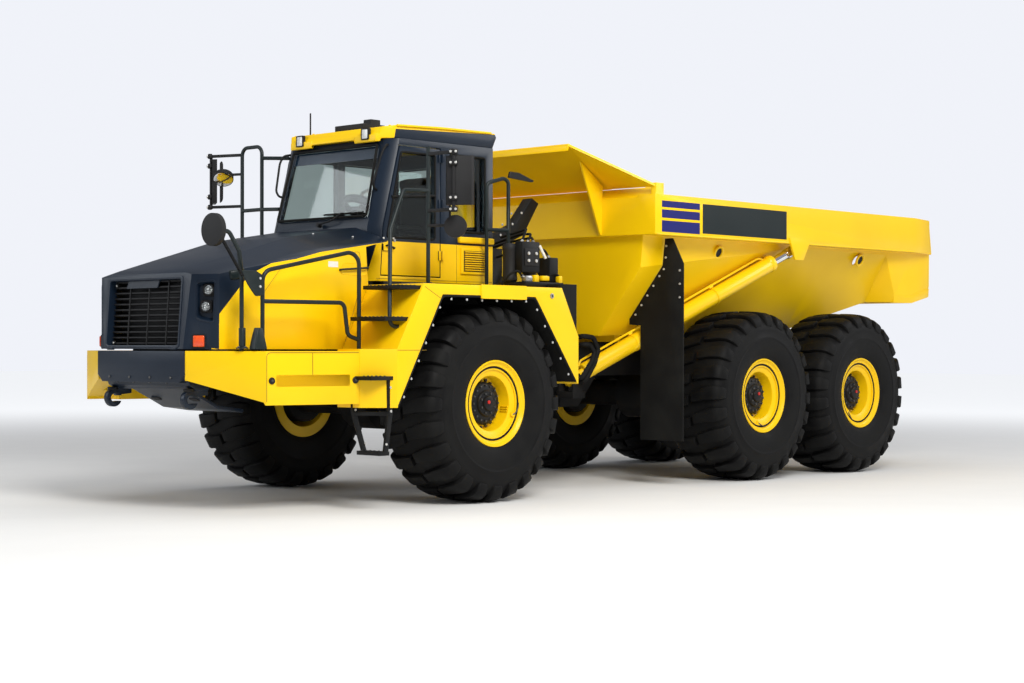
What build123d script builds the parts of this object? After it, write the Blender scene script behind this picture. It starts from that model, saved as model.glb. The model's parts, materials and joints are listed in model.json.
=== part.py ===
from build123d import *
import math
import os

# Articulated dump truck: a front frame with engine, hood and centre cab, a steering hitch,
# and a rear frame that carries two driven axles and a tipping dump body.
# +X forward, +Y left, +Z up, millimetres. The origin is on the ground at the middle of the
# overall length. Stations, written as "x" below, are measured forward from the front axle.

# ---------------------------------------------------------------- driving dimensions
overall_length = 11075          # bumper face to tail lip
overall_half_width = 1725       # over the front fenders
nose_x = 2867                   # bumper face, ahead of the front axle
front_reach = 2985              # front of the round mirrors, the foremost point
tail_x = nose_x - overall_length
front_axle_x = -(front_reach + tail_x) / 2      # where the front axle stands in the part's frame
center_axle_x = -4350
rear_axle_x = center_axle_x - 1970
track_half = 1345               # tyre centre plane from the middle of the truck
tyre_radius = 930
tyre_width = 744
axle_z = tyre_radius

steer_pin_x = -1500             # vertical pin that the truck bends at
steer_base_x, steer_base_y = -520, 650          # steering cylinder pins on the front frame
steer_eye_x, steer_eye_y = -1590, 350           # and on the hitch
steer_cyl_z = 1180
hitch_axis_z = 1080             # fore-and-aft axis that the rear frame rolls about
tip_pin_x, tip_pin_z = -7000, 1620              # dump body hinge
hoist_eye_x, hoist_eye_y, hoist_eye_z = -5000, 1560, 2530       # hoist cylinder pins on the dump body
tow_z, tow_bore_radius = 1400, 32
lift_eyes = [(-3820, 2490), (-6610, 2500)]      # station, height
lift_eye_radius = 55
hood_pin_x, hood_pin_z = 2846, 1442             # hood hinge
door_pin_x, door_pin_y = -180, 800              # cab door hinge line

frame_rail_y = 430              # middle of each frame rail
frame_rail_width = 110
deck_z = 2030                   # top of the walkways
cab_floor_z = 2080
cab_half_width = 780
cab_wall = 60
gap = 8                         # clear space round a moving panel


# ---------------------------------------------------------------- planes and places
def at(x, y, z):
    """A point from its station, offset from the middle and height."""
    return (front_axle_x + x, y, z)


def side_plane(y):
    """Upright fore-and-aft plane at offset y: local x is the station, local y the height."""
    return Plane(origin=at(0, y, 0), x_dir=(1, 0, 0), z_dir=(0, -1, 0))


def cross_plane(x):
    """Upright crosswise plane at station x: local x is the offset, local y the height."""
    return Plane(origin=at(x, 0, 0), x_dir=(0, 1, 0), z_dir=(1, 0, 0))


def level_plane(z):
    """Level plane at height z: local x is the station, local y the offset."""
    return Plane(origin=at(0, 0, z), x_dir=(1, 0, 0), z_dir=(0, 0, 1))


def both_sides(half):
    """A half outline of (offset, height) points from the middle outward, closed by its mirror image."""
    return half + [(-y, z) for y, z in reversed(half) if y > 0]


os.makedirs("parts", exist_ok=True)
pieces = []


def finish(piece, label):
    piece.part.label = label
    export_step(piece.part, f"parts/{label}.step")
    pieces.append(piece.part)


# ---------------------------------------------------------------- wheels
wheels = [                      # name, station of the axle, side
    ("front_left", 0, 1),
    ("front_right", 0, -1),
    ("center_left", center_axle_x, 1),
    ("center_right", center_axle_x, -1),
    ("rear_left", rear_axle_x, 1),
    ("rear_right", rear_axle_x, -1),
]
rim_seat_radius = 318
rim_wall = 22
rim_flange_radius = 406
rim_half_width = 322
hub_radius = 176
spindle_radius = 100
half_tyre = tyre_width / 2
tyre_half_profile = [           # radius, distance from the tyre's centre plane
    (rim_seat_radius + 1, 0),
    (rim_seat_radius + 1, 294),
    (415, 300),
    (430, 330),
    (560, half_tyre - 6),
    (660, half_tyre),
    (760, half_tyre - 4),
    (832, half_tyre - 18),
    (884, half_tyre - 52),
    (912, half_tyre - 100),
    (924, half_tyre - 190),
    (tyre_radius, half_tyre - 300),
    (tyre_radius, 0),
]
for name, x, side in wheels:
    centre = at(x, side * track_half, axle_z)
    wheel_plane = Plane(origin=centre, x_dir=(1, 0, 0), z_dir=(0, 0, 1 * side))
    # local x is the radius; local y points outboard on both sides of the truck
    with BuildPart() as tyre:
        with BuildSketch(wheel_plane):
            with BuildLine():
                Polyline(tyre_half_profile + [(r, -w) for r, w in reversed(tyre_half_profile[1:-1])],
                         close=True)
            make_face()
        revolve(axis=Axis(centre, (0, 1, 0)))
    finish(tyre, f"{name}_tyre")

    with BuildPart() as rim:
        with BuildSketch(wheel_plane):
            with BuildLine():
                Polyline([(rim_seat_radius - rim_wall, -rim_half_width), (rim_flange_radius, -rim_half_width),
                          (rim_flange_radius, -rim_half_width + 22), (rim_seat_radius, -rim_half_width + 26),
                          (rim_seat_radius, rim_half_width - 26), (rim_flange_radius, rim_half_width - 22),
                          (rim_flange_radius, rim_half_width), (rim_seat_radius - rim_wall, rim_half_width),
                          (rim_seat_radius - rim_wall, 120), (hub_radius, 96), (hub_radius, 190),
                          (140, 226), (60, 236), (0, 236), (0, 20), (spindle_radius + 6, 20),
                          (spindle_radius + 6, -60), (hub_radius, -60), (hub_radius, 66),
                          (rim_seat_radius - rim_wall, 90)], close=True)
            make_face()
        revolve(axis=Axis(centre, (0, 1, 0)))
    finish(rim, f"{name}_rim")


# ---------------------------------------------------------------- axles
def axle_tubes(x):
    """Axle beam with its differential bowl, brake housings and the spindles that the wheels turn on."""
    # cylinders along the axle: radius, and offset of each end from the middle of the truck
    for radius, start, end in ((150, 0, track_half - 340), (285, 0, 190),
                               (245, track_half - 350, track_half - 100),
                               (spindle_radius, track_half - 110, track_half)):
        for side in (1, -1):
            with BuildSketch(Plane(origin=at(x, side * start, axle_z), z_dir=(0, side, 0))) as disc:
                Circle(radius)
            extrude(disc.sketch, amount=end - start)


strut_y = 640
rail_drop_z = 1040              # underside of the rails where the axle's arms are held
with BuildPart() as front_axle:
    axle_tubes(0)
    with BuildSketch(Plane(origin=at(0, 0, axle_z), x_dir=(1, 0, 0), z_dir=(0, 0, 1))):
        for side in (1, -1):
            with Locations((0, side * strut_y)):
                Circle(75)
    extrude(amount=720)
    for side in (1, -1):
        with BuildSketch(side_plane(side * frame_rail_y)):
            Polygon((60, axle_z - 90), (60, axle_z + 80), (900, 1036), (1000, rail_drop_z), (1000, 930),
                    align=None)
        extrude(amount=55, both=True)
finish(front_axle, "front_axle")

for label, x in (("center_axle", center_axle_x), ("rear_axle", rear_axle_x)):
    with BuildPart() as driven_axle:
        axle_tubes(x)
    finish(driven_axle, label)

# ---------------------------------------------------------------- front frame
rail_top = 1400
bumper_rear_x = 2540
lug_radius = 190
upper_lug_z, lower_lug_z, lug_thickness = 1440, 660, 60
lug_top_z = upper_lug_z + lug_thickness
steer_pin_radius = 70
with BuildPart() as front_chassis:
    for side in (1, -1):
        with BuildSketch(side_plane(side * frame_rail_y)):
            Polygon((bumper_rear_x, 1120), (bumper_rear_x, rail_top), (300, rail_top), (-560, lug_top_z),
                    (-850, lug_top_z), (-850, lower_lug_z), (-760, lower_lug_z), (-690, 1080), (-360, 1080),
                    (-310, 1130), (900, 1130),
                    (960, rail_drop_z), (1400, rail_drop_z), (1500, 1120), align=None)
        extrude(amount=frame_rail_width / 2, both=True)
    # cross members: station, height, half length, half height
    for x, z, half_x, half_z in ((2420, 1260, 60, 130), (900, 1180, 70, 140), (-640, 1300, 80, 110)):
        with BuildSketch(cross_plane(x)):
            with Locations((0, z)):
                Rectangle(2 * frame_rail_y, 2 * half_z)
        extrude(amount=half_x, both=True)
    # strut towers over the axle
    for side in (1, -1):
        with BuildSketch(level_plane(rail_top)):
            with Locations((0, side * (strut_y - 60))):
                Rectangle(360, 330)
        extrude(amount=330)
    with BuildSketch(level_plane(1400)):
        with Locations((0, strut_y), (0, -strut_y)):
            Circle(84)
    extrude(amount=330, mode=Mode.SUBTRACT)
    # hitch lugs and the steering pin
    for z in (upper_lug_z, lower_lug_z):
        with BuildSketch(level_plane(z)):
            with Locations((steer_pin_x, 0)):
                Circle(lug_radius)
            Polygon((steer_pin_x, lug_radius), (-780, frame_rail_y + 55), (-780, -frame_rail_y - 55),
                    (steer_pin_x, -lug_radius), align=None)
        extrude(amount=lug_thickness)
    with BuildSketch(level_plane(lower_lug_z - 30)):
        with Locations((steer_pin_x, 0)):
            Circle(steer_pin_radius)
    extrude(amount=upper_lug_z + lug_thickness + 60 - lower_lug_z)
    # brackets for the steering cylinders' barrels
    for z in (steer_cyl_z - 92, steer_cyl_z + 62):
        with BuildSketch(level_plane(z)):
            for side in (1, -1):
                Polygon((steer_base_x - 90, side * (frame_rail_y + 40)),
                        (steer_base_x + 90, side * (frame_rail_y + 40)),
                        (steer_base_x + 60, side * (steer_base_y + 70)),
                        (steer_base_x - 60, side * (steer_base_y + 70)), align=None)
        extrude(amount=30)
finish(front_chassis, "front_chassis")

with BuildPart() as engine_block:
    with BuildSketch(level_plane(1200)):
        with Locations((1650, 0)):
            Rectangle(1300, 2 * frame_rail_y - frame_rail_width)
    extrude(amount=760)
    with BuildSketch(level_plane(rail_top)):
        with Locations((2420, 0)):
            Rectangle(240, 1100)
    extrude(amount=580)
finish(engine_block, "engine_block")

# ---------------------------------------------------------------- bumper and side boxes
bumper_top, bumper_low, bumper_half = 1420, 1142, 636
corner_x, corner_y = 2510, 1310
box_rear_x, box_rear_y = 1590, 1500
box_cut_x = 2320                # where the rise in the boxes' underside ends
hook_x, hook_z, hook_radius = 2752, 990, 82
with BuildPart() as front_bumper:
    with BuildSketch(cross_plane(bumper_rear_x)):
        Polygon((-bumper_half, bumper_top), (-bumper_half, 1205), (-bumper_half + 70, bumper_low),
                (bumper_half - 70, bumper_low), (bumper_half, 1205), (bumper_half, bumper_top), align=None)
    extrude(amount=nose_x - bumper_rear_x)
    with BuildSketch(side_plane(0)):
        Polygon((2560, 1160), (2790, 1160), (2770, 1110), (2700, 1075), (2560, 1075), align=None)
    extrude(amount=600, both=True)
    # tow hooks under the lip: a ring with a gap behind, and an arm back to the underside
    for side in (1, -1):
        with BuildSketch(side_plane(side * 560)):
            with Locations((hook_x, hook_z)):
                Circle(hook_radius)
            Polygon((2560, 1080), (hook_x, 1080), (hook_x, 1012), (2560, 1030), align=None)
            with Locations((hook_x, hook_z)):
                Circle(0.46 * hook_radius, mode=Mode.SUBTRACT)
            Polygon((hook_x - 4, hook_z + 20), (hook_x - 4, hook_z - 30), (hook_x - 110, hook_z - 30),
                    (hook_x - 110, hook_z + 20), align=None, mode=Mode.SUBTRACT)
        extrude(amount=26, both=True)
    # skid plate tapering down and back
    with BuildSketch(side_plane(0)):
        Polygon((2600, 1075), (2650, 1075), (2300, 900), (2000, 860), (2000, 890), (2290, 930), align=None)
    extrude(amount=400, both=True)
finish(front_bumper, "front_bumper")

with BuildPart() as side_boxes:
    with BuildSketch(level_plane(955)):
        Polygon((nose_x - 8, bumper_half), (corner_x, corner_y), (box_rear_x, box_rear_y),
                (box_rear_x, 1060), (2500, 1060), (2620, bumper_half), align=None)
    extrude(amount=bumper_top - 955)
    # lower edge of the front face, rising toward the bumper
    with BuildSketch(cross_plane(box_cut_x)):
        Polygon((600, 940), (600, 1165), (bumper_half + 20, 1160), (corner_y - 20, 980), (corner_y, 940),
                align=None)
    extrude(amount=nose_x - box_cut_x, mode=Mode.SUBTRACT)
    mirror(about=Plane.XZ)
finish(side_boxes, "side_boxes")

# ---------------------------------------------------------------- front fenders and their liners
fender_inner = 1010
arch = [(1340, 920), (770, 1935), (-500, 1935), (-1105, 1120)]      # station, height
with BuildPart() as front_fenders:
    with BuildSketch(side_plane(overall_half_width)):
        Polygon((1345, 920), (1345, 1440), (1010, deck_z), (-880, deck_z), (-1130, 1560), (-1130, 1100),
                *reversed(arch), align=None)
    extrude(amount=overall_half_width - fender_inner)
    # chamfered front face between the side box and the fender
    with BuildSketch(level_plane(920)):
        Polygon((1345, overall_half_width), (box_rear_x, box_rear_y), (box_rear_x, 1210), (1345, 1210),
                align=None)
    extrude(amount=1440 - 920)
    mirror(about=Plane.XZ)
finish(front_fenders, "front_fenders")

liner_thickness = 14
liner_inner = 945
with BuildPart() as fender_liners:
    with BuildSketch(side_plane(overall_half_width - 20)):
        Polygon(*arch, (-1088, 1120), (-492, 1935 - liner_thickness), (762, 1935 - liner_thickness),
                (1324, 920),
                align=None)
    extrude(amount=overall_half_width - 20 - liner_inner)
    # inner wall between the tyre's top and the deck
    with BuildSketch(side_plane(liner_inner + liner_thickness)):
        Polygon((768, 1934), (-498, 1934), (-790, 1540), (-620, 1480), (700, 1480), (980, 1540), align=None)
    extrude(amount=liner_thickness)
    # plate that closes the gap between the deck and the fender's raked rear edge
    with BuildSketch(side_plane(overall_half_width - 25)):
        Polygon((-880, deck_z + 40), (-1130, deck_z + 40), (-1130, 1560), (-880, deck_z), align=None)
    extrude(amount=350)
    mirror(about=Plane.XZ)
finish(fender_liners, "fender_liners")

# ---------------------------------------------------------------- decks behind and beside the cab
with BuildPart() as rear_deck:
    with BuildSketch(level_plane(deck_z - 40)):
        Polygon((985, fender_inner), (985, 800), (-940, 800), (-940, -800), (985, -800),
                (985, -fender_inner), (-1120, -fender_inner), (-1120, fender_inner), align=None)
    extrude(amount=40)
    # pads under the cab's corners
    with BuildSketch(level_plane(deck_z - 40)):
        with Locations((500, 730), (500, -730), (-750, 730), (-750, -730)):
            Rectangle(240, 140)
    extrude(amount=cab_floor_z - deck_z + 40)
    # beam that carries the deck on the rails
    with BuildSketch(level_plane(lug_top_z)):
        with Locations((-720, 0)):
            Rectangle(240, 1880)
    extrude(amount=60)
    # valve box and hydraulic block on the deck
    for x, y, length, width, height in ((-1030, 560, 150, 360, 420), (-1030, 120, 150, 300, 300),
                                        (-1030, -420, 150, 420, 380)):
        with BuildSketch(level_plane(deck_z)):
            with Locations((x, y)):
                Rectangle(length, width)
        extrude(amount=height)
    for side in (1, -1):
        with BuildSketch(side_plane(side * 880)):
            Polygon((-600, deck_z - 40), (-840, deck_z - 40), (-840, lug_top_z), (-600, lug_top_z),
                    align=None)
        extrude(amount=60, both=True)
    # duct that leans back over the hitch
    with BuildSketch(side_plane(560)):
        Polygon((-980, 2440), (-980, 2530), (-1440, 2720), (-1690, 3000), (-1790, 2950), (-1550, 2610),
                (-1090, 2440), align=None)
    extrude(amount=65, both=True)
finish(rear_deck, "rear_deck")

# ---------------------------------------------------------------- cab
cab_top_z = 3450
cab_side_outline = [(735, cab_floor_z), (700, 2600), (470, cab_top_z), (-920, cab_top_z), (-920, cab_floor_z)]
cab_inner_outline = [(735 - cab_wall, cab_floor_z + cab_wall), (640, 2600), (420, cab_top_z + 10),
                     (-920 + cab_wall, cab_top_z + 10), (-920 + cab_wall, cab_floor_z + cab_wall)]
door_outline = [(648, 2130), (616, 2600), (402, 3390), (door_pin_x + 10, 3390), (door_pin_x + 10, 2130)]
# the cab's front corners are cut back: along the side, and where the cut meets the front
corner_back, corner_front_y = 80, 656
with BuildPart() as cab_shell:
    with BuildSketch(side_plane(0)):
        Polygon(*cab_side_outline, align=None)
    extrude(amount=cab_half_width, both=True)
    for side in (1, -1):
        (foot_x, foot_z), (bend_x, bend_z), (head_x, head_z) = cab_side_outline[0:3]
        for low_x, low_z, high_x, high_z in ((foot_x, foot_z, bend_x, bend_z),
                                             (bend_x, bend_z, head_x, head_z)):
            for x, z in ((low_x, low_z), (high_x, high_z)):
                with BuildSketch(level_plane(z)):
                    Polygon((x + 1, side * corner_front_y), (x + 1, side * (cab_half_width + 1)),
                            (x - corner_back, side * (cab_half_width + 1)), align=None)
            loft(ruled=True, mode=Mode.SUBTRACT)
    with BuildSketch(side_plane(0)):
        Polygon(*cab_inner_outline, align=None)
    extrude(amount=cab_half_width - cab_wall, both=True, mode=Mode.SUBTRACT)
    # windscreen opening, cut straight through the sloping front
    with BuildSketch(cross_plane(300)):
        Polygon((-640, 2690), (-600, 3380), (600, 3380), (640, 2690), align=None)
    extrude(amount=600, mode=Mode.SUBTRACT)
    # rear window
    with BuildSketch(cross_plane(-1000)):
        with Locations((0, 2980)):
            Rectangle(1150, 640)
    extrude(amount=200, mode=Mode.SUBTRACT)
    # door opening on the left
    with BuildSketch(side_plane(cab_half_width + 10)):
        Polygon(*door_outline, align=None)
    extrude(amount=cab_wall + 20, mode=Mode.SUBTRACT)
    # side windows: the right front pane and a rear quarter pane on each side
    with BuildSketch(side_plane(-cab_half_width + cab_wall + 10)):
        Polygon((600, 2540), (410, 3340), (-200, 3340), (-200, 2540), align=None)
    extrude(amount=cab_wall + 20, mode=Mode.SUBTRACT)
    for side in (1, -1):
        with BuildSketch(side_plane(side * (cab_half_width - cab_wall / 2))):
            Polygon((-300, 2590), (-300, 3340), (-800, 3340), (-800, 2590), align=None)
        extrude(amount=cab_wall, both=True, mode=Mode.SUBTRACT)
finish(cab_shell, "cab_shell")

glass_thickness = 8
with BuildPart() as cab_glass:
    # windscreen: a slice of the sloping front, as wide as its opening
    with BuildSketch(cross_plane(300)):
        Polygon((-640, 2690), (-600, 3380), (600, 3380), (640, 2690), align=None)
    extrude(amount=600)
    with BuildSketch(side_plane(0)):
        Polygon((655, 2690), (470, 3380), (470 + glass_thickness, 3380), (655 + glass_thickness, 2690),
                align=None)
    extrude(amount=700, both=True, mode=Mode.INTERSECT)
    with BuildSketch(cross_plane(-900)):
        with Locations((0, 2980)):
            Rectangle(1150, 640)
    extrude(amount=glass_thickness)
    with BuildSketch(side_plane(-cab_half_width + 30)):
        Polygon((600, 2540), (410, 3340), (-200, 3340), (-200, 2540), align=None)
    extrude(amount=glass_thickness)
    for side in (1, -1):
        with BuildSketch(side_plane(side * (cab_half_width - 30))):
            Polygon((-300, 2590), (-300, 3340), (-800, 3340), (-800, 2590), align=None)
        extrude(amount=glass_thickness / 2, both=True)
finish(cab_glass, "cab_glass")

roof_half_width = 770
visor_inner, visor_drop = 310, 32
with BuildPart() as cab_roof:
    with BuildSketch(side_plane(0)):
        Polygon((540, cab_top_z), (500, 3560), (380, 3580), (-860, 3590), (-960, 3600), (-985, 3560),
                (-930, cab_top_z), align=None)
    extrude(amount=roof_half_width, both=True)
    # visor ends that hang lower and carry the work lights
    for side in (1, -1):
        with BuildSketch(side_plane(side * visor_inner)):
            Polygon((548, cab_top_z + 40), (548, cab_top_z - visor_drop), (514, cab_top_z - visor_drop),
                    (500, cab_top_z + 40), align=None)
        extrude(amount=-side * (roof_half_width - visor_inner))
    # corners cut back in plan
    with BuildSketch(level_plane(cab_top_z - visor_drop - 10)):
        Polygon((560, 600), (425, 725), (-1000, roof_half_width), (-1000, -roof_half_width), (425, -725),
                (560, -600),
                align=None)
    extrude(amount=300, mode=Mode.INTERSECT)
finish(cab_roof, "cab_roof")

# air box, its raised cap and the aerial: station, offset, length, width, bottom, top
roof_boxes = [
    (190, 15, 300, 410, 3580, 3642),
    (170, 165, 130, 110, 3640, 3690),
]
with BuildPart() as roof_unit:
    for x, y, length, width, bottom, top in roof_boxes:
        with BuildSketch(level_plane(bottom)):
            with Locations((x, y)):
                Rectangle(length, width)
        extrude(amount=top - bottom)
    with BuildSketch(level_plane(3570)):
        with Locations((260, -640)):
            Circle(8)
    extrude(amount=250)
    add(cab_roof.part, mode=Mode.SUBTRACT)
finish(roof_unit, "roof_unit")

with BuildPart() as cab_seats:
    # seat base, cushion and back: station, offset, length, width, bottom, top
    for x, y, length, width, bottom, top in ((-250, 120, 480, 520, 2400, 2540),
                                             (-520, 120, 130, 500, 2540, 3160),
                                             (-250, 120, 300, 300, 2140, 2400),
                                             (-500, -420, 360, 380, 2140, 2520),
                                             (-660, -420, 100, 380, 2520, 2980)):
        with BuildSketch(level_plane(bottom)):
            with Locations((x, y)):
                Rectangle(length, width)
        extrude(amount=top - bottom)
finish(cab_seats, "cab_seats")

wheel_tilt = 28
with BuildPart() as dashboard:
    with BuildSketch(side_plane(0)):
        Polygon((630, 2140), (615, 2640), (430, 2720), (300, 2620), (330, 2140), align=None)
    extrude(amount=640, both=True)
    with BuildSketch(Plane(origin=at(330, 120, 2640), x_dir=(0, 1, 0),
                           z_dir=(-math.sin(math.radians(wheel_tilt)), 0,
                                  math.cos(math.radians(wheel_tilt))))):
        Circle(35)
    extrude(amount=190)
    with BuildSketch(Plane(origin=at(330 - 190 * math.sin(math.radians(wheel_tilt)), 120,
                                     2640 + 190 * math.cos(math.radians(wheel_tilt))), x_dir=(0, 1, 0),
                           z_dir=(-math.sin(math.radians(wheel_tilt)), 0,
                                  math.cos(math.radians(wheel_tilt))))):
        Circle(210)
        Circle(180, mode=Mode.SUBTRACT)
        Rectangle(400, 44)
    extrude(amount=28, both=True)
finish(dashboard, "dashboard")

door_inset = 12
door_window = [(560, 2500), (372, 3320), (-90, 3320), (-90, 2500)]
with BuildPart() as cab_door:
    with BuildSketch(side_plane(cab_half_width)):
        Polygon((door_outline[0][0] - door_inset, 2130 + door_inset), (door_outline[1][0] - door_inset, 2600),
                (door_outline[2][0] - door_inset, 3390 - door_inset),
                (door_pin_x + 10 + door_inset, 3390 - door_inset),
                (door_pin_x + 10 + door_inset, 2130 + door_inset), align=None)
        Polygon(*door_window, align=None, mode=Mode.SUBTRACT)
    extrude(amount=cab_wall)
    # grab handle and lock case on the outside
    with BuildSketch(side_plane(cab_half_width)):
        with Locations((560, 2400)):
            Rectangle(120, 60)
    extrude(amount=-18)
    # hinge knuckles on the rear edge
    for z in (2300, 2800, 3250):
        with BuildSketch(level_plane(z)):
            with Locations((door_pin_x, door_pin_y)):
                Circle(14)
            with Locations((door_pin_x + 24, door_pin_y - 14)):
                Rectangle(44, 12)
        extrude(amount=90)
finish(cab_door, "cab_door")

with BuildPart() as door_glass:
    with BuildSketch(side_plane(cab_half_width - 26)):
        Polygon(*door_window, align=None)
    extrude(amount=glass_thickness)
finish(door_glass, "door_glass")

# ---------------------------------------------------------------- hood, grille and lamps
hood_wall = 22
grille_half, grille_low, grille_high = 535, 1460, 2072
grille_front_x, grille_slope = 2786, 42 / 570     # louvre face at the grille's foot, and its lean
grille_frame_x = 2842                             # front of the grille's frame at its foot
# plan of the hood's nose: flat face, cut corner, then a side that flares out
nose_face_x, nose_face_half = 2852, 600
nose_corner_x, nose_corner_y = 2650, 850
nose_flare_x = 1900
# lamps on the cut corners: station, offset, height, radius
lamps = [(2711, 775, 1951, 42), (2726, 756, 1807, 42), (2761, 712, 1505, 45)]
lamp_facing = (0.778, 0.628)
hood_base_z = 1436
hood_rear_x = 745
hood_knuckle_radius = 15
# station, crease offset and height, shoulder offset and height, height of the side's top edge
hood_sections = [
    (hood_rear_x, 560, 2592, 930, 2478, 2440),
    (1600, 520, 2462, 925, 2350, 2312),
    (2870, 465, 2108, 862, 2030, 1998),
]
hood_side_y = 1000


def hood_shape(inset):
    """The hood's faceted solid, pulled in by inset on its top and sides."""
    side = hood_side_y - inset
    sections = []
    for x, crease_y, crease_z, shoulder_y, shoulder_z, side_z in hood_sections:
        with BuildSketch(cross_plane(x)) as section:
            Polygon(*both_sides([(crease_y, crease_z - inset), (shoulder_y - inset, shoulder_z - inset),
                                 (side, side_z - inset), (side, 1350)]), align=None)
        sections.append(section.sketch)
    loft(sections, ruled=True)
    with BuildSketch(level_plane(1000)) as plan:
        Polygon((nose_face_x - inset, nose_face_half), (nose_corner_x - inset, nose_corner_y - 0.6 * inset),
                (nose_flare_x, side), (0, side), (0, -side), (nose_flare_x, -side),
                (nose_corner_x - inset, 0.6 * inset - nose_corner_y), (nose_face_x - inset, -nose_face_half),
                align=None)
    extrude(plan.sketch, amount=2000, mode=Mode.INTERSECT)
    with BuildSketch(side_plane(0)) as profile:
        Polygon((nose_face_x - inset, hood_base_z), (2802 - inset, 2106), (2730 - inset, 2156 - inset),
                (2600 - inset, 2600), (0, 3000), (760, 2700),
                (760, 2440), (1040, 2380), (1010, 2010), (1300, hood_base_z), align=None)
    extrude(profile.sketch, amount=1200, both=True, mode=Mode.INTERSECT)


with BuildPart() as hood_cavity:
    hood_shape(hood_wall)
with BuildPart() as hood_shell:
    hood_shape(0)
    add(hood_cavity.part, mode=Mode.SUBTRACT)
    # openings for the grille and the lamps
    with BuildSketch(cross_plane(2600)):
        Polygon((-grille_half, grille_low), (-grille_half, grille_high), (grille_half, grille_high),
                (grille_half, grille_low), align=None)
    extrude(amount=400, mode=Mode.SUBTRACT)
    for side in (1, -1):
        for x, y, z, lamp_radius in lamps:
            facing = (lamp_facing[0], side * lamp_facing[1], 0)
            with BuildSketch(Plane(origin=at(x, side * y, z), z_dir=facing)):
                Circle(lamp_radius)
            extrude(amount=60, both=True, mode=Mode.SUBTRACT)
        # hinge knuckle at the foot of the hood's front
        with BuildSketch(Plane(origin=at(hood_pin_x, side * 420, hood_pin_z), z_dir=(0, side, 0))):
            Circle(hood_knuckle_radius)
        extrude(amount=90)
finish(hood_shell, "hood_shell")

# grille: a frame set into the hood's front opening, with slanted louvres across it
louvres = 11
louvre_pitch = (grille_high - grille_low - 60) / louvres
frame_wall, louvre_depth = 18, 40
grille_lean = grille_slope * (grille_high - grille_low)
with BuildPart() as front_grille:
    # frame, its front edge just behind the hood's leaning face
    for half, low, high, mode in ((grille_half, grille_low, grille_high, Mode.ADD),
                                  (grille_half - frame_wall, grille_low + frame_wall,
                                   grille_high - frame_wall, Mode.SUBTRACT)):
        with BuildSketch(side_plane(0)):
            Polygon((grille_frame_x, low), (grille_frame_x - grille_lean, high),
                    (grille_front_x - grille_lean - louvre_depth, high), (grille_front_x - louvre_depth, low),
                    align=None)
        extrude(amount=half, both=True, mode=mode)
    # louvres
    with BuildSketch(side_plane(0)):
        for step in range(louvres + 1):
            z = grille_low + 30 + step * louvre_pitch
            x = grille_front_x - (z - grille_low) * grille_slope
            Polygon((x, z - 9), (x, z + 7), (x - louvre_depth, z - 11), (x - louvre_depth, z - 27),
                    align=None)
    extrude(amount=grille_half - frame_wall / 2, both=True)
    for y in (-280, 0, 280):
        with BuildSketch(side_plane(y)):
            Polygon((grille_front_x - 8, grille_low + 5), (grille_front_x - grille_lean - 8, grille_high - 5),
                    (grille_front_x - grille_lean - 30, grille_high - 5),
                    (grille_front_x - 30, grille_low + 5),
                    align=None)
        extrude(amount=10, both=True)
finish(front_grille, "front_grille")

with BuildPart() as headlamps:
    for side in (1, -1):
        for x, y, z, lamp_radius in lamps:
            facing = (lamp_facing[0], side * lamp_facing[1], 0)
            with BuildSketch(Plane(origin=at(x, side * y, z), z_dir=facing)):
                Circle(lamp_radius)
            extrude(amount=12)
            with BuildSketch(Plane(origin=at(x, side * y, z), z_dir=(-facing[0], -facing[1], 0))):
                Circle(lamp_radius)
            extrude(amount=50)
finish(headlamps, "headlamps")

# ---------------------------------------------------------------- steps, rails and mirrors
with BuildPart() as access_steps:
    # treads: station of the front edge, inner offset, outer offset, top
    for x, inner, outer, top in ((1640, 1400, 1700, 1200), (1470, 1250, 1700, 1725),
                                 (1290, 1225, 1700, 2010)):
        with BuildSketch(level_plane(top - 35)):
            Polygon((x, inner), (x - 300, inner), (x - 300, outer), (x, outer), align=None)
        extrude(amount=35)
    # hanging stirrup: two straps and a tread
    for y, head_x in ((1400, 1575), (1670, 1395)):
        with BuildSketch(side_plane(y)):
            Polygon((head_x + 22, 1165), (head_x - 22, 1165), (head_x - 34, 870), (1415, 520), (1465, 520),
                    (head_x + 18, 870), align=None)
        extrude(amount=12, both=True)
    with BuildSketch(level_plane(850)):
        Polygon((1592, 1390), (1552, 1376), (1366, 1680), (1404, 1694), align=None)
    extrude(amount=34)
    with BuildSketch(level_plane(500)):
        Polygon((1520, 1388), (1400, 1388), (1400, 1682), (1520, 1682), align=None)
    extrude(amount=36)
    add(front_fenders.part, mode=Mode.SUBTRACT)
    add(side_boxes.part, mode=Mode.SUBTRACT)
finish(access_steps, "access_steps")

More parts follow.
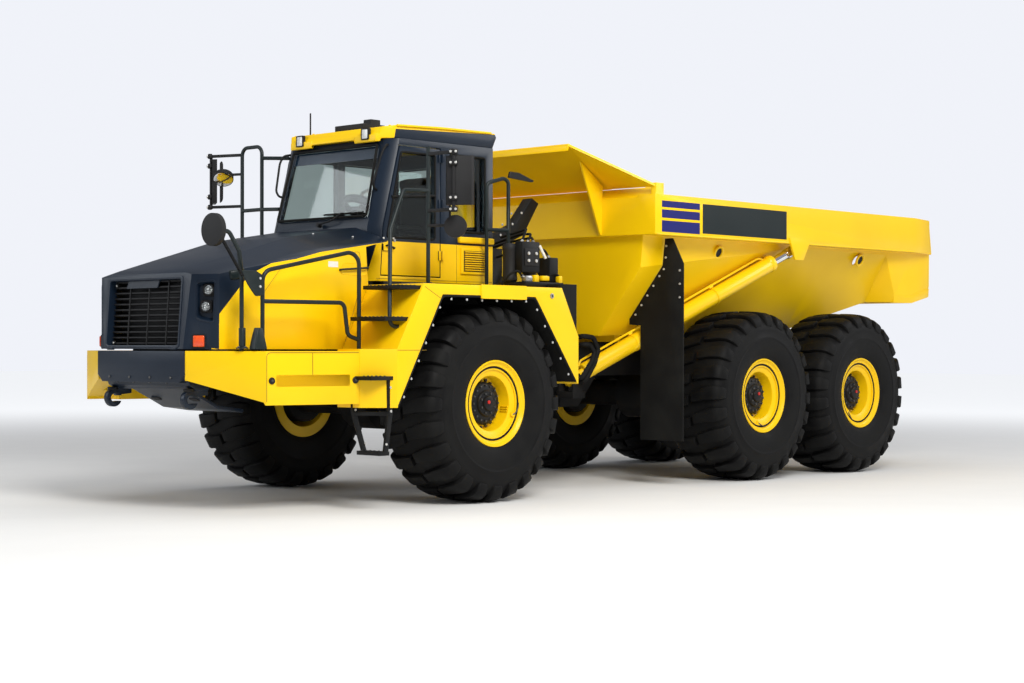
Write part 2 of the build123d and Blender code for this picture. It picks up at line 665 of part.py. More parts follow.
post_x, post_y = 570, 1340      # posts that carry the mirrors
mirror_sets = [                 # side, middle of the housing, height of its underside
    (1, 470, 1650, 2760),
    (-1, 620, 1700, 2940),
]
wide_mirrors = [                # side, middle of the round mirror and the way it faces
    (1, (430, 1560, 2570), (0.8, 0.6, 0)),
    (-1, (640, 1560, 3215), (0.42, 0.50, -0.75)),
]
mirror_height = 450
mirror_half_width = 132
mirror_depth = 48
mirror_out = (-0.574, 0.819)    # across the housing, outward and back
mirror_front = (0.819, 0.574)   # out of the housing's front
with BuildPart() as mirrors:
    for side, x, y, low_z in mirror_sets:
        def housing_point(out, forward):
            return (x + mirror_out[0] * out + mirror_front[0] * forward,
                    side * (y + mirror_out[1] * out + mirror_front[1] * forward))

        # housing, the rod in front of it and the two arms from the post
        with BuildSketch(level_plane(low_z)):
            Polygon(housing_point(-mirror_half_width, 0), housing_point(mirror_half_width, 0),
                    housing_point(mirror_half_width - 18, mirror_depth),
                    housing_point(18 - mirror_half_width, mirror_depth), align=None)
        extrude(amount=mirror_height)
        rod = housing_point(-50, mirror_depth + 8)
        with BuildSketch(level_plane(low_z - 60)):
            with Locations(rod):
                Circle(16)
        extrude(amount=mirror_height + 110)
        for z in (low_z - 55, low_z + mirror_height + 20):
            with BuildSketch(level_plane(z)):
                Polygon((post_x + 18, side * (post_y + 12)), (rod[0] + 15, rod[1]), (rod[0] - 15, rod[1]),
                        (post_x - 18, side * (post_y + 12)), align=None)
            extrude(amount=28)
    # round mirrors beside the main ones, each on a strap from the post
    for side, (x, y, z), facing in wide_mirrors:
        with BuildSketch(level_plane(z)):
            Polygon((post_x + 16, side * (post_y + 12)), (x + 20, side * y), (x - 10, side * (y - 10)),
                    (post_x - 16, side * (post_y + 12)), align=None)
        extrude(amount=24)
        with BuildSketch(Plane(origin=at(x, side * y, z), z_dir=facing)):
            Circle(105)
        extrude(amount=45)
    # round mirror ahead of the bumper's left corner
    with BuildSketch(Plane(origin=at(front_reach, 1160, 2445), z_dir=(-1, 0, 0))):
        Circle(140)
    extrude(amount=45)
finish(mirrors, "mirrors")

rail_radius = 19
# routes of the rails: sides, points of the left one, bend radius
rail_routes = [
    ((1,), [(2440, 1180, bumper_top), (2440, 1180, 2110), (1440, 1330, 2320), (1440, 1330, bumper_top)], 110),
    ((1,), [(2440, 1180, 1850), (1600, 1306, 1850), (1560, 1312, 1560), (1440, 1330, 1520)], 60),
    ((1,), [(1180, 1610, 1640), (1330, 1610, 1640), (1300, 1580, 1820), (1090, 1370, 2520), (900, 1345, 2890),
            (575, 1342, 2905)], 60),
    ((1,), [(post_x, post_y, deck_z), (post_x, post_y, 3310)], 0),
    ((-1,), [(post_x, post_y, deck_z), (post_x, post_y, 3490), (post_x, 1030, 3490),
             (post_x, 1030, deck_z)], 80),
    ((-1,), [(post_x, post_y, 2850), (post_x, 1040, 2850), (560, 770, 2840)], 60),
    ((-1,), [(post_x, 1030, 3370), (430, 770, 3360)], 0),
    ((1, -1), [(-700, 900, deck_z), (-700, 900, 3080), (-930, 980, 3150), (-930, 980, deck_z)], 60),
    ((1, -1), [(-700, 905, 2620), (-930, 980, 2620)], 0),
    ((1,), [(2590, 1080, bumper_top), (2590, 1080, 2090), (2680, 1150, 2280), (2790, 1150, 2440),
            (2950, 1150, 2440)], 60),
]
with BuildPart() as handrails:
    for sides, points, bend in rail_routes:
        for side in sides:
            places = [at(x, side * y, z) for x, y, z in points]
            with BuildLine() as route:
                if bend:
                    FilletPolyline(*places, radius=bend)
                else:
                    Line(*places)
            with BuildSketch(Plane(origin=route.line @ 0, z_dir=route.line % 0)):
                Circle(rail_radius)
            sweep()
    for neighbour in (front_fenders, side_boxes, access_steps, mirrors, cab_shell):
        add(neighbour.part, mode=Mode.SUBTRACT)
finish(handrails, "handrails")

# hoses that loop from the deck and the rails down to the steering pin, on each side
hose_radius = 24
hose_routes = [                 # points of the left one, bend radius
    ([(-1060, 820, 2070), (-1240, 850, 2290), (-1600, 870, 2300), (-1860, 800, 2200), (-1900, 780, 2030),
      (-1740, 560, 1720), (-1490, 170, 1570), (-1450, 120, 1480)], 95),
    ([(-1060, 700, 2070), (-1240, 740, 2240), (-1600, 780, 2250), (-1800, 740, 2120), (-1820, 700, 1980),
      (-1660, 480, 1720), (-1400, 160, 1600), (-1380, 110, 1480)], 90),
    ([(-780, 520, 1540), (-1120, 700, 1800), (-1560, 900, 1880), (-1720, 860, 1880), (-1780, 800, 1740),
      (-1650, 420, 1550), (-1530, 170, 1530), (-1510, 140, 1480)], 60),
]
with BuildPart() as hydraulic_hoses:
    for points, bend in hose_routes:
        with BuildLine() as route:
            FilletPolyline(*[at(*point) for point in points], radius=bend)
        with BuildSketch(Plane(origin=route.line @ 0, z_dir=route.line % 0)):
            Circle(hose_radius)
        sweep()
    mirror(about=Plane.XZ)
    for neighbour in (rear_deck, front_chassis):
        add(neighbour.part, mode=Mode.SUBTRACT)
finish(hydraulic_hoses, "hydraulic_hoses")

# ---------------------------------------------------------------- steering hitch
hitch_barrel_radius = 215
bearing_front_x, bearing_rear_x = -1950, -2300
with BuildPart() as hitch:
    with BuildSketch(level_plane(lower_lug_z + lug_thickness + gap)):
        with Locations((steer_pin_x, 0)):
            Circle(165)
        Polygon((steer_pin_x, 165), (-1760, 200), (-1760, -200), (steer_pin_x, -165), align=None)
        with Locations((steer_pin_x, 0)):
            Circle(steer_pin_radius + 6, mode=Mode.SUBTRACT)
    extrude(amount=upper_lug_z - lower_lug_z - lug_thickness - 2 * gap)
    with BuildSketch(cross_plane(-1700)):
        with Locations((0, hitch_axis_z)):
            Circle(hitch_barrel_radius)
    extrude(amount=bearing_rear_x + 1700 + 10)
    # thrust flange ahead of the bearing housing
    with BuildSketch(cross_plane(bearing_front_x + 12)):
        with Locations((0, hitch_axis_z)):
            Circle(290)
    extrude(amount=60)
    # ears for the steering cylinders' rods
    for z in (steer_cyl_z - 76, steer_cyl_z + 48):
        with BuildSketch(level_plane(z)):
            for side in (1, -1):
                Polygon((steer_pin_x, side * 120), (steer_eye_x + 50, side * (steer_eye_y + 40)),
                        (steer_eye_x - 50, side * (steer_eye_y + 40)), (-1760, side * 160), align=None)
        extrude(amount=28)
finish(hitch, "hitch")

# ---------------------------------------------------------------- rear frame
rear_rail_bottom, rear_rail_top = 1150, 1500
hoist_base_x, hoist_base_y, hoist_base_z = -2070, 820, 1120
with BuildPart() as rear_chassis:
    # bearing housing that turns on the hitch barrel
    with BuildSketch(cross_plane(bearing_rear_x)):
        with Locations((0, hitch_axis_z)):
            Circle(300)
            Circle(hitch_barrel_radius + 6, mode=Mode.SUBTRACT)
    extrude(amount=bearing_front_x - bearing_rear_x)
    with BuildSketch(cross_plane(bearing_rear_x - 90)):
        Polygon((-485, 820), (-485, rear_rail_top), (485, rear_rail_top), (485, 820), align=None)
    extrude(amount=90)
    for side in (1, -1):
        with BuildSketch(side_plane(side * frame_rail_y)):
            Polygon((bearing_rear_x - 60, 820), (bearing_rear_x - 60, rear_rail_top), (-6700, rear_rail_top),
                    (-6860, 1700), (-6930, 1740), (-7070, 1740), (-7140, 1680), (-7140, 1300),
                    (-6900, rear_rail_bottom),
                    (-2900, rear_rail_bottom), (-2600, 820), align=None)
        extrude(amount=frame_rail_width / 2, both=True)
    # cross members: station, height, half length, half height
    for x, z, half_x, half_z in ((-3300, 1330, 70, 130), (-5335, 1330, 110, 130), (-6980, 1400, 70, 110)):
        with BuildSketch(cross_plane(x)):
            with Locations((0, z)):
                Rectangle(2 * frame_rail_y, 2 * half_z)
        extrude(amount=half_x, both=True)
    # shelf and cheeks that hold each hoist cylinder's foot
    for side in (1, -1):
        with BuildSketch(level_plane(925)):
            Polygon((bearing_rear_x - 90, side * 480), (bearing_rear_x - 90, side * 760), (-2160, side * 925),
                    (-1995, side * 925), (-1995, side * 715), (-2220, side * 480), align=None)
        extrude(amount=70)
        for y in (side * (hoist_base_y - 95), side * (hoist_base_y + 95)):
            with BuildSketch(side_plane(y)):
                Polygon((-2000, 990), (-2000, 1150), (-2040, 1185), (-2100, 1185), (-2150, 1120),
                        (-2150, 990),
                        align=None)
            extrude(amount=10, both=True)
    # pins that the dump body tips on
    for side in (1, -1):
        with BuildSketch(Plane(origin=at(tip_pin_x, side * 400, tip_pin_z), z_dir=(0, side, 0))):
            Circle(45)
        extrude(amount=185)
    # saddle tubes for the equalizer beams
    for side in (1, -1):
        with BuildSketch(Plane(origin=at(-5335, side * 480, 1040), z_dir=(0, side, 0))):
            Circle(60)
        extrude(amount=220)
        with BuildSketch(side_plane(side * 470)):
            Polygon((-5200, 1200), (-5470, 1200), (-5400, 980), (-5270, 980), align=None)
        extrude(amount=18, both=True)
    # towing clevis at the back
    for z in (tow_z - 60, tow_z + 30):
        with BuildSketch(level_plane(z)):
            with Locations((-7190, 0)):
                Circle(80)
            Polygon((-7190, 80), (-6980, 140), (-6980, -140), (-7190, -80), align=None)
            with Locations((-7190, 0)):
                Circle(tow_bore_radius, mode=Mode.SUBTRACT)
        extrude(amount=30)
finish(rear_chassis, "rear_chassis")

# hose loops beside the hoist cylinders' feet
loop_hose_radius = 26
hoist_hose_routes = [           # points of the left one, bend radius
    ([(-2345, 485, 1400), (-2345, 640, 1420), (-2150, 800, 1560), (-2120, 965, 1575), (-2260, 975, 1560),
      (-2330, 985, 1430), (-2250, 1000, 1290), (-2090, 1012, 1110), (-2090, 925, 1110)], 40),
    ([(-2345, 485, 1310), (-2345, 640, 1330), (-2170, 800, 1460), (-2140, 950, 1490), (-2225, 965, 1480),
      (-2270, 985, 1400), (-2210, 1000, 1310), (-2035, 1012, 1140), (-2035, 925, 1140)], 34),
]
with BuildPart() as hoist_hoses:
    for points, bend in hoist_hose_routes:
        with BuildLine() as route:
            FilletPolyline(*[at(*point) for point in points], radius=bend)
        with BuildSketch(Plane(origin=route.line @ 0, z_dir=route.line % 0)):
            Circle(loop_hose_radius)
        sweep()
    mirror(about=Plane.XZ)
    add(rear_chassis.part, mode=Mode.SUBTRACT)
finish(hoist_hoses, "hoist_hoses")

with BuildPart() as equalizer_beams:
    for side in (1, -1):
        with BuildSketch(side_plane(side * 640)):
            Polygon((center_axle_x + 110, 1086), (center_axle_x + 110, 1160), (-5235, 1160), (-5435, 1160),
                    (rear_axle_x - 110, 1160), (rear_axle_x - 110, 1086), (rear_axle_x + 200, 1086),
                    (-5480, 930),
                    (-5190, 930), (center_axle_x - 200, 1086), align=None)
            with Locations((-5335, 1040)):
                Circle(62, mode=Mode.SUBTRACT)
        extrude(amount=55, both=True)
finish(equalizer_beams, "equalizer_beams")

# ---------------------------------------------------------------- dump body
wall = 25
floor_liner = 12
rail_y, rail_low_z, rail_high_z = 1660, 2625, 3035
front_wall_x = -2500
# station, station of the same section of the load space, floor half width, floor height,
# bend offset, bend height, top half width
body_sections = [
    (front_wall_x, front_wall_x - wall, 840, 1580, 1410, 2290, 1480),
    (-5300, -5300, 780, 1650, 1460, 2590, 1480),
    (-6000, -6000, 800, 1660, 1460, 2590, 1480),
    (-7180, -7180, 1185, 2015, 1480, 2580, 1485),
    (-7330, -7330, 1470, 2015, 1500, 2110, 1500),
    (-7720, -7720, 1490, 2015, 1510, 2110, 1505),
    (tail_x, tail_x - 40, 1440, 2100, 1468, 2230, 1472),
]
tail_sections = body_sections[-3:]
load_floor = [(-2530, 1604), (-5290, 1673)]      # station and height of the flat floor's ends
# wear liner on the flat floor: station and height of its ends, half width
liner_ends, liner_half = [(-2640, 1607 + floor_liner), (-5240, 1672 + floor_liner)], 700
with BuildPart() as load_space:
    for x, inner_x, floor_y, floor_z, bend_y, bend_z, top_y in body_sections:
        with BuildSketch(cross_plane(inner_x)):
            Polygon(*both_sides([(floor_y - 8, floor_z + wall), (bend_y - wall, bend_z + 8),
                                 (1480 - wall, rail_high_z + 200)]), align=None)
    loft(ruled=True)
    # flat floor
    with BuildSketch(side_plane(0)):
        Polygon(*load_floor, (-5290, 1760), (-2530, 1760), align=None)
    extrude(amount=765, both=True)
with BuildPart() as side_rail:
    with BuildSketch(level_plane(rail_low_z)):
        Polygon((-2420, 1430), (-2420, rail_y), (-7540, rail_y), (-8190, 1512), (-8190, 1430), align=None)
    extrude(amount=rail_high_z - rail_low_z)
    with BuildSketch(side_plane(1700)):
        Polygon((-2420, rail_low_z), (-2420, rail_high_z), (-8080, rail_high_z), (-8190, rail_low_z),
                align=None)
    extrude(amount=400, mode=Mode.INTERSECT)
with BuildPart() as tail_lip:
    for x, inner_x, floor_y, floor_z, bend_y, bend_z, top_y in tail_sections:
        with BuildSketch(cross_plane(x)):
            Polygon(*both_sides([(floor_y + 22, floor_z - 8), (floor_y + 28, floor_z + 95)]), align=None)
    loft(ruled=True)
with BuildPart() as dump_box:
    for x, inner_x, floor_y, floor_z, bend_y, bend_z, top_y in body_sections:
        with BuildSketch(cross_plane(x)):
            Polygon(*both_sides([(floor_y, floor_z), (bend_y, bend_z), (top_y, rail_high_z)]), align=None)
    loft(ruled=True)
    add(tail_lip.part)
    add(side_rail.part)
    add(mirror(side_rail.part, about=Plane.XZ, mode=Mode.PRIVATE))
    # box beam across the front wall, with a sloping ledge
    with BuildSketch(side_plane(0)):
        Polygon((-2420, rail_low_z), (-2420, 3010), (-2540, 3130), (-2560, 3130), (-2560, rail_low_z),
                align=None)
    extrude(amount=rail_y, both=True)
    # cross ribs under the floor and the hinge ears
    for x, depth in ((-3000, 70), (-3900, 70), (-4800, 70)):
        with BuildSketch(cross_plane(x)):
            with Locations((0, 1590)):
                Rectangle(1400, 2 * depth)
        extrude(amount=50, both=True)
    for side in (1, -1):
        with BuildSketch(side_plane(side * 535)):
            Polygon((-6700, 1900), (-7300, 2010), (-7080, 1560), (-6920, 1560), align=None)
            with Locations((tip_pin_x, tip_pin_z)):
                Circle(51, mode=Mode.SUBTRACT)
        extrude(amount=30, both=True)
    # lugs for the hoist cylinders' rods
    for side in (1, -1):
        with BuildSketch(side_plane(side * (hoist_eye_y + 105))):
            Polygon((-4830, rail_low_z + 60), (-4940, 2440), (-5100, 2440), (-5260, rail_low_z + 60),
                    align=None)
        extrude(amount=12, both=True)
    add(load_space.part, mode=Mode.SUBTRACT)
    with BuildSketch(side_plane(0)):
        Polygon(*liner_ends, (liner_ends[1][0], liner_ends[1][1] - 24),
                (liner_ends[0][0], liner_ends[0][1] - 24),
                align=None)
    extrude(amount=liner_half, both=True)
    # spill guard: a middle sheet leaning forward, with a lip, two cheeks and two gussets
    with BuildSketch(side_plane(0)):
        Polygon((-2560, 3122), (-1862, 3530), (-1850, 3480), (-1838, 3480), (-1850, 3552), (-1868, 3552),
                (-2560, 3150),
                align=None)
    extrude(amount=975, both=True)
    for side in (1, -1):
        corners = [Vector(*at(-1850, side * 965, 3545)), Vector(*at(-2550, side * 950, 3135)),
                   Vector(*at(-2440, side * 1650, 3120))]
        cheek_plane = Plane(origin=corners[0], x_dir=corners[1] - corners[0],
                            z_dir=(corners[1] - corners[0]).cross(corners[2] - corners[0]))
        with BuildSketch(cheek_plane):
            Polygon(*[tuple(cheek_plane.to_local_coords(corner))[0:2] for corner in corners], align=None)
        extrude(amount=12, both=True)
        with BuildSketch(side_plane(side * 940)):
            Polygon((-2080, 3390), (-2440, 3150), (-2422, 2640), (-2400, 2640), align=None)
        extrude(amount=12, both=True)
        with BuildSketch(side_plane(side * (rail_y - 30))):
            Polygon((-2425, 3030), (-2435, 3150), (-2560, 3150), (-2560, 3030), align=None)
        extrude(amount=30, both=True)
    # lifting eyes cut through the side walls
    for x, z in lift_eyes:
        with BuildSketch(side_plane(0)):
            with Locations((x, z)):
                Circle(lift_eye_radius)
        extrude(amount=1600, both=True, mode=Mode.SUBTRACT)
finish(dump_box, "dump_box")

with BuildPart() as body_mudflaps:
    with BuildSketch(cross_plane(-2860)):
        Polygon((990, 1760), (1430, 2318), (1462, 2600), (1560, 2600), (1700, 2330), (1700, 480),
                (1140, 480), (1140, 1690),
                (990, 1700), align=None)
    extrude(amount=20)
    mirror(about=Plane.XZ)
finish(body_mudflaps, "body_mudflaps")


# ---------------------------------------------------------------- cylinders
# name, side, base pin, eye, swing axis, barrel radius, bore, rod radius, base knuckle radius and
# half length; then, measured from the base pin: start of the barrel, its end, and the rod's inner end
cylinders = [
    ("left_hoist", 1, (hoist_base_x, hoist_base_y, hoist_base_z), (hoist_eye_x, hoist_eye_y, hoist_eye_z),
     (0.4764, 0.3474, 0.8077), 88, 64, 48, 62, 45, 180, 3040, 320),
    ("right_hoist", -1, (hoist_base_x, hoist_base_y, hoist_base_z), (hoist_eye_x, hoist_eye_y, hoist_eye_z),
     (0.4764, 0.3474, 0.8077), 88, 64, 48, 62, 45, 180, 3040, 320),
    ("left_steering", 1, (steer_base_x, steer_base_y, steer_cyl_z), (steer_eye_x, steer_eye_y, steer_cyl_z),
     (0, 0, 1), 55, 40, 28, 44, 40, 110, 760, 440),
    ("right_steering", -1, (steer_base_x, steer_base_y, steer_cyl_z), (steer_eye_x, steer_eye_y, steer_cyl_z),
     (0, 0, 1), 55, 40, 28, 44, 40, 110, 760, 440),
]
barrel_end_wall = 60
for name, side, base, eye, axis, outer, bore, rod, knuckle, knuckle_half, start, end, rod_start in cylinders:
    base = Vector(*at(base[0], side * base[1], base[2]))
    eye = Vector(*at(eye[0], side * eye[1], eye[2]))
    axis = Vector(axis[0], side * axis[1], axis[2])
    along = (eye - base).normalized()
    with BuildPart() as barrel:
        with BuildSketch(Plane(origin=base + along * start, z_dir=along)):
            Circle(outer)
        extrude(amount=end - start)
        with BuildSketch(Plane(origin=base + along * (start + barrel_end_wall), z_dir=along)):
            Circle(bore)
        extrude(amount=end - start - barrel_end_wall + 1, mode=Mode.SUBTRACT)
        with BuildSketch(Plane(origin=base, z_dir=along)):
            Circle(0.7 * knuckle)
        extrude(amount=start + 2)
        with BuildSketch(Plane(origin=base, z_dir=axis)):
            Circle(knuckle)
        extrude(amount=knuckle_half, both=True)
    finish(barrel, f"{name}_barrel")

    with BuildPart() as plunger:
        with BuildSketch(Plane(origin=base + along * rod_start, z_dir=along)):
            Circle(rod)
        extrude(amount=(eye - base).length - rod_start)
        with BuildSketch(Plane(origin=eye - along * 1.4 * rod, z_dir=along)):
            Circle(1.25 * rod)
        extrude(amount=2.8 * rod)
    finish(plunger, f"{name}_rod")
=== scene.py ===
import json
import math

import bmesh
import bpy
from mathutils import Matrix, Vector

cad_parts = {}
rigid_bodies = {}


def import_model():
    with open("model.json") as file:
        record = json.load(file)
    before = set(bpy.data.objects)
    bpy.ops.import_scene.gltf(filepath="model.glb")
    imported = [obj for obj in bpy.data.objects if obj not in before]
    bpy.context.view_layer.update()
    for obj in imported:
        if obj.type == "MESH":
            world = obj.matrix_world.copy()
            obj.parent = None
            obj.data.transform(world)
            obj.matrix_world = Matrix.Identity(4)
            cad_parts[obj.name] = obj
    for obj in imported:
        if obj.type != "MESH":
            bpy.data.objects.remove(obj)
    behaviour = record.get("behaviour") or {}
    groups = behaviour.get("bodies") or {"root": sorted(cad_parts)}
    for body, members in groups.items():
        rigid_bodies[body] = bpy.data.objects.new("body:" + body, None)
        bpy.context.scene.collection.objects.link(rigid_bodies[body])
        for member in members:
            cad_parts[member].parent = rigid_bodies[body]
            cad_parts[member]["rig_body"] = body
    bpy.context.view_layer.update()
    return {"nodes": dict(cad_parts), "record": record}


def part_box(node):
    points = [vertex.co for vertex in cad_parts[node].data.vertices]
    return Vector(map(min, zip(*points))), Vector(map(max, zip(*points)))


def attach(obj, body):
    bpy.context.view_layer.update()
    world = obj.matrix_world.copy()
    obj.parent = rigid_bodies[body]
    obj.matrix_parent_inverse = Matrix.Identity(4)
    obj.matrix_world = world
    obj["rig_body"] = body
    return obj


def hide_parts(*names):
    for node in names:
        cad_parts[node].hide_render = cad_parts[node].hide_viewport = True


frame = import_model()
slotOf = {entry["node"]: entry["material_slot"] for entry in frame["record"]["subparts"]}
scene = bpy.context.scene

# the front axle's middle, on the ground: places below are measured forward from it
lowTyre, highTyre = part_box("front_left_tyre")
axleX = (lowTyre.x + highTyre.x) / 2
tyreRadius = (highTyre.z - lowTyre.z) / 2
trackHalf = (highTyre.y + lowTyre.y) / 2
upward = Vector((0, 0, 1))


def at(x, y, z):
    return Vector((axleX + x, y, z))


def onSide(side, x, y, z):
    # the same place on the left, side 1, or the right, side -1
    return at(x, side * y, z)


# working in the scene

def deselectAll():
    if bpy.context.object and bpy.context.object.mode != "OBJECT":
        bpy.ops.object.mode_set(mode="OBJECT")
    bpy.ops.object.select_all(action="DESELECT")


def activate(obj):
    deselectAll()
    obj.select_set(True)
    bpy.context.view_layer.objects.active = obj


def linked(name, data):
    obj = bpy.data.objects.new(name, data)
    scene.collection.objects.link(obj)
    return obj


def discard(*templates):
    for template in templates:
        bpy.data.objects.remove(template)


def applyModifier(obj, kind, **settings):
    activate(obj)
    modifier = obj.modifiers.new(kind.lower(), kind)
    for key, value in settings.items():
        setattr(modifier, key, value)
    bpy.ops.object.modifier_apply(modifier=modifier.name)
    return obj


def bevelEdges(obj, width, segments=2, angle=30):
    return applyModifier(obj, "BEVEL", width=width, segments=segments, limit_method="ANGLE",
                         angle_limit=math.radians(angle), use_clamp_overlap=True)


def paint(obj, *finishes):
    obj.data.materials.clear()
    for finish in finishes:
        obj.data.materials.append(finish)
    return obj


def smooth(obj, angle=35):
    activate(obj)
    bpy.ops.object.shade_smooth_by_angle(angle=math.radians(angle))
    return obj


def dress(obj, finish, smoothing):
    # smoothing and finish, each only where it is given
    if smoothing:
        smooth(obj, smoothing)
    return paint(obj, finish) if finish else obj


def joinAs(name, objs):
    deselectAll()
    for obj in objs:
        obj.select_set(True)
    bpy.context.view_layer.objects.active = objs[0]
    if len(objs) > 1:
        bpy.ops.object.join()
    joined = bpy.context.object
    joined.name = joined.data.name = name
    return joined


def bodyOf(node):
    return frame["nodes"][node]["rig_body"]


def finishPiece(obj, body, slot, *replaced):
    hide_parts(*replaced)
    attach(obj, body)


def standIn(node, pieces, name=None):
    # the joined pieces show in place of a CAD node, on its body
    finishPiece(joinAs(name or node + "_model", pieces), bodyOf(node), slotOf[node], node)


def softCopy(node, width, *finishes, segments=2, smoothing=40, merged=True):
    # a merged copy of a CAD node with its edges softened
    original = frame["nodes"][node]
    copy = original.copy()
    copy.data = original.data.copy()
    for key in list(copy.keys()):
        if key.startswith("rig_"):
            del copy[key]
    copy.parent = None
    scene.collection.objects.link(copy)
    copy.name = node + "_panel"
    activate(copy)
    bpy.ops.mesh.customdata_custom_splitnormals_clear()
    bpy.ops.object.mode_set(mode="EDIT")
    bpy.ops.mesh.select_all(action="SELECT")
    bpy.ops.mesh.remove_doubles(threshold=0.00002)
    if merged:
        bpy.ops.mesh.dissolve_limited(angle_limit=math.radians(1.0), delimit={"NORMAL"})
    bpy.ops.object.mode_set(mode="OBJECT")
    if width:
        bevelEdges(copy, width, segments)
    return paint(smooth(copy, smoothing), *finishes)


def settle(obj):
    # the piece's place goes into its mesh
    activate(obj)
    bpy.ops.object.transform_apply(location=True, rotation=True, scale=True)
    return obj


def roundedBox(centre, size, bevel, finish=None, turn=(0, 0, 0), segments=2, smoothing=0):
    bpy.ops.mesh.primitive_cube_add(size=1, location=centre, rotation=turn)
    box = bpy.context.object
    box.scale = size
    return dress(bevelEdges(settle(box), bevel, segments), finish, smoothing)


def turnedRound(centre, axis, radius, depth, vertices, bevel, finish=None, smoothing=0):
    # a round or many-sided boss, its middle at centre and standing along axis
    spin = upward.rotation_difference(Vector(axis).normalized()).to_euler()
    bpy.ops.mesh.primitive_cylinder_add(radius=radius, depth=depth, vertices=vertices, location=centre, rotation=spin)
    return dress(bevelEdges(settle(bpy.context.object), bevel, 2, 50), finish, smoothing)


def cornerCurve(before, corner, after, bend, steps):
    # the curve that replaces a corner between its two neighbours
    back, ahead = before - corner, after - corner
    reach = min(bend, back.length * 0.45, ahead.length * 0.45)
    start, end = corner + back.normalized() * reach, corner + ahead.normalized() * reach
    shares = [step / steps for step in range(steps + 1)]
    return [start * (1 - t) ** 2 + corner * 2 * t * (1 - t) + end * t ** 2 for t in shares]


def tube(points, radius, finish=None, bend=0.0, closed=False, resolution=3):
    # a pipe along straight runs with rounded corners
    curve = bpy.data.curves.new("pipe", "CURVE")
    curve.dimensions = "3D"
    curve.bevel_depth = radius
    curve.bevel_resolution = resolution
    curve.use_fill_caps = not closed
    places = [Vector(point) for point in points]
    path = []
    for index, corner in enumerate(places):
        if bend and (closed or 0 < index < len(places) - 1):
            path += cornerCurve(places[index - 1], corner, places[(index + 1) % len(places)], bend, 6)
        else:
            path.append(corner)
    spline = curve.splines.new("POLY")
    spline.points.add(len(path) - 1)
    for point, place in zip(spline.points, path):
        point.co = (*place, 1)
    spline.use_cyclic_u = closed
    activate(linked("pipe", curve))
    bpy.ops.object.convert(target="MESH")
    return dress(bpy.context.object, finish, 50)


def turned(obj, turn):
    # a copy with its own mesh, moved by a matrix
    copy = linked(obj.name, obj.data.copy())
    copy.data.transform(turn)
    return copy


def faced(model, place, facing, front=(0, 1, 0)):
    # a copy of a model, its front turned to face a direction and put in place
    turn = Vector(front).rotation_difference(Vector(facing).normalized()).to_matrix().to_4x4()
    return turned(model, Matrix.Translation(Vector(place)) @ turn)


def scatter(template, places, finish):
    # copies of a small template, each (place, direction its top faces)
    return [paint(faced(template, place, facing, upward), finish) for place, facing in places]


def sideTurn(side):
    return Matrix.Rotation(0 if side > 0 else math.pi, 4, "Z")


def mirrored(direction, side):
    return Vector((direction[0], side * direction[1], direction[2]))


def meshPiece(name, shape):
    bmesh.ops.recalc_face_normals(shape, faces=shape.faces)
    mesh = bpy.data.meshes.new(name)
    shape.to_mesh(mesh)
    shape.free()
    return linked(name, mesh)


def spun(name, profile, steps, finish=None, smoothing=35):
    # (radius, distance along Y) points turned about Y, closed to a ring unless they start on the axis
    shape = bmesh.new()
    corners = [shape.verts.new((radius, along, 0)) for radius, along in profile]
    for first, second in zip(corners, corners[1:]):
        shape.edges.new((first, second))
    if profile[0][0] > 0:
        shape.edges.new((corners[-1], corners[0]))
    obj = meshPiece(name, shape)
    activate(obj)
    bpy.ops.object.mode_set(mode="EDIT")
    bpy.ops.mesh.select_all(action="SELECT")
    bpy.ops.mesh.spin(steps=steps, angle=math.tau, center=(0, 0, 0), axis=(0, 1, 0))
    bpy.ops.mesh.select_all(action="SELECT")
    bpy.ops.mesh.remove_doubles(threshold=0.00005)
    bpy.ops.mesh.normals_make_consistent(inside=False)
    bpy.ops.object.mode_set(mode="OBJECT")
    return dress(obj, finish, smoothing)


def skin(name, rows, closeFirst=True, closeLast=True):
    # a surface over successive closed rows of points, each with the same count
    shape = bmesh.new()
    rows = [[shape.verts.new(point) for point in row] for row in rows]
    for first, second in zip(rows, rows[1:]):
        for index in range(len(first)):
            following = (index + 1) % len(first)
            shape.faces.new((first[index], first[following], second[following], second[index]))
    if closeFirst:
        shape.faces.new(rows[0])
    if closeLast:
        shape.faces.new(list(reversed(rows[-1])))
    return meshPiece(name, shape)


def roundedLoop(corners, radius, steps=4):
    # a flat outline of (across, up) points with its corners rounded
    places = [Vector(corner) for corner in corners]
    loop = []
    for index, corner in enumerate(places):
        loop += cornerCurve(places[index - 1], corner, places[(index + 1) % len(places)], radius, steps)
    return loop


def oblong(width, height):
    # the corners of an upright oblong from its half sizes
    return [(-width, -height), (width, -height), (width, height), (-width, height)]


def layered(name, loops, origin, across, up, finish=None, smoothing=0, closeFirst=True, closeLast=True):
    # skins (outline, height) loops that stand off a plane
    origin, across, up = Vector(origin), Vector(across).normalized(), Vector(up).normalized()
    out = across.cross(up)
    rows = [[origin + across * point[0] + up * point[1] + out * height for point in loop] for loop, height in loops]
    return dress(skin(name, rows, closeFirst, closeLast), finish, smoothing)


def plate(name, corners, origin, across, up, thickness, finish, radius=0.01, bevel=0.003, smoothing=35):
    # a flat plate with rounded corners and a softened front edge
    loop = roundedLoop(corners, radius)
    middle = sum((point for point in loop), Vector((0, 0))) / len(loop)
    inner = [point + (middle - point).normalized() * bevel for point in loop]
    loops = [(loop, 0), (loop, thickness - bevel), (inner, thickness)]
    return layered(name, loops, origin, across, up, finish, smoothing)


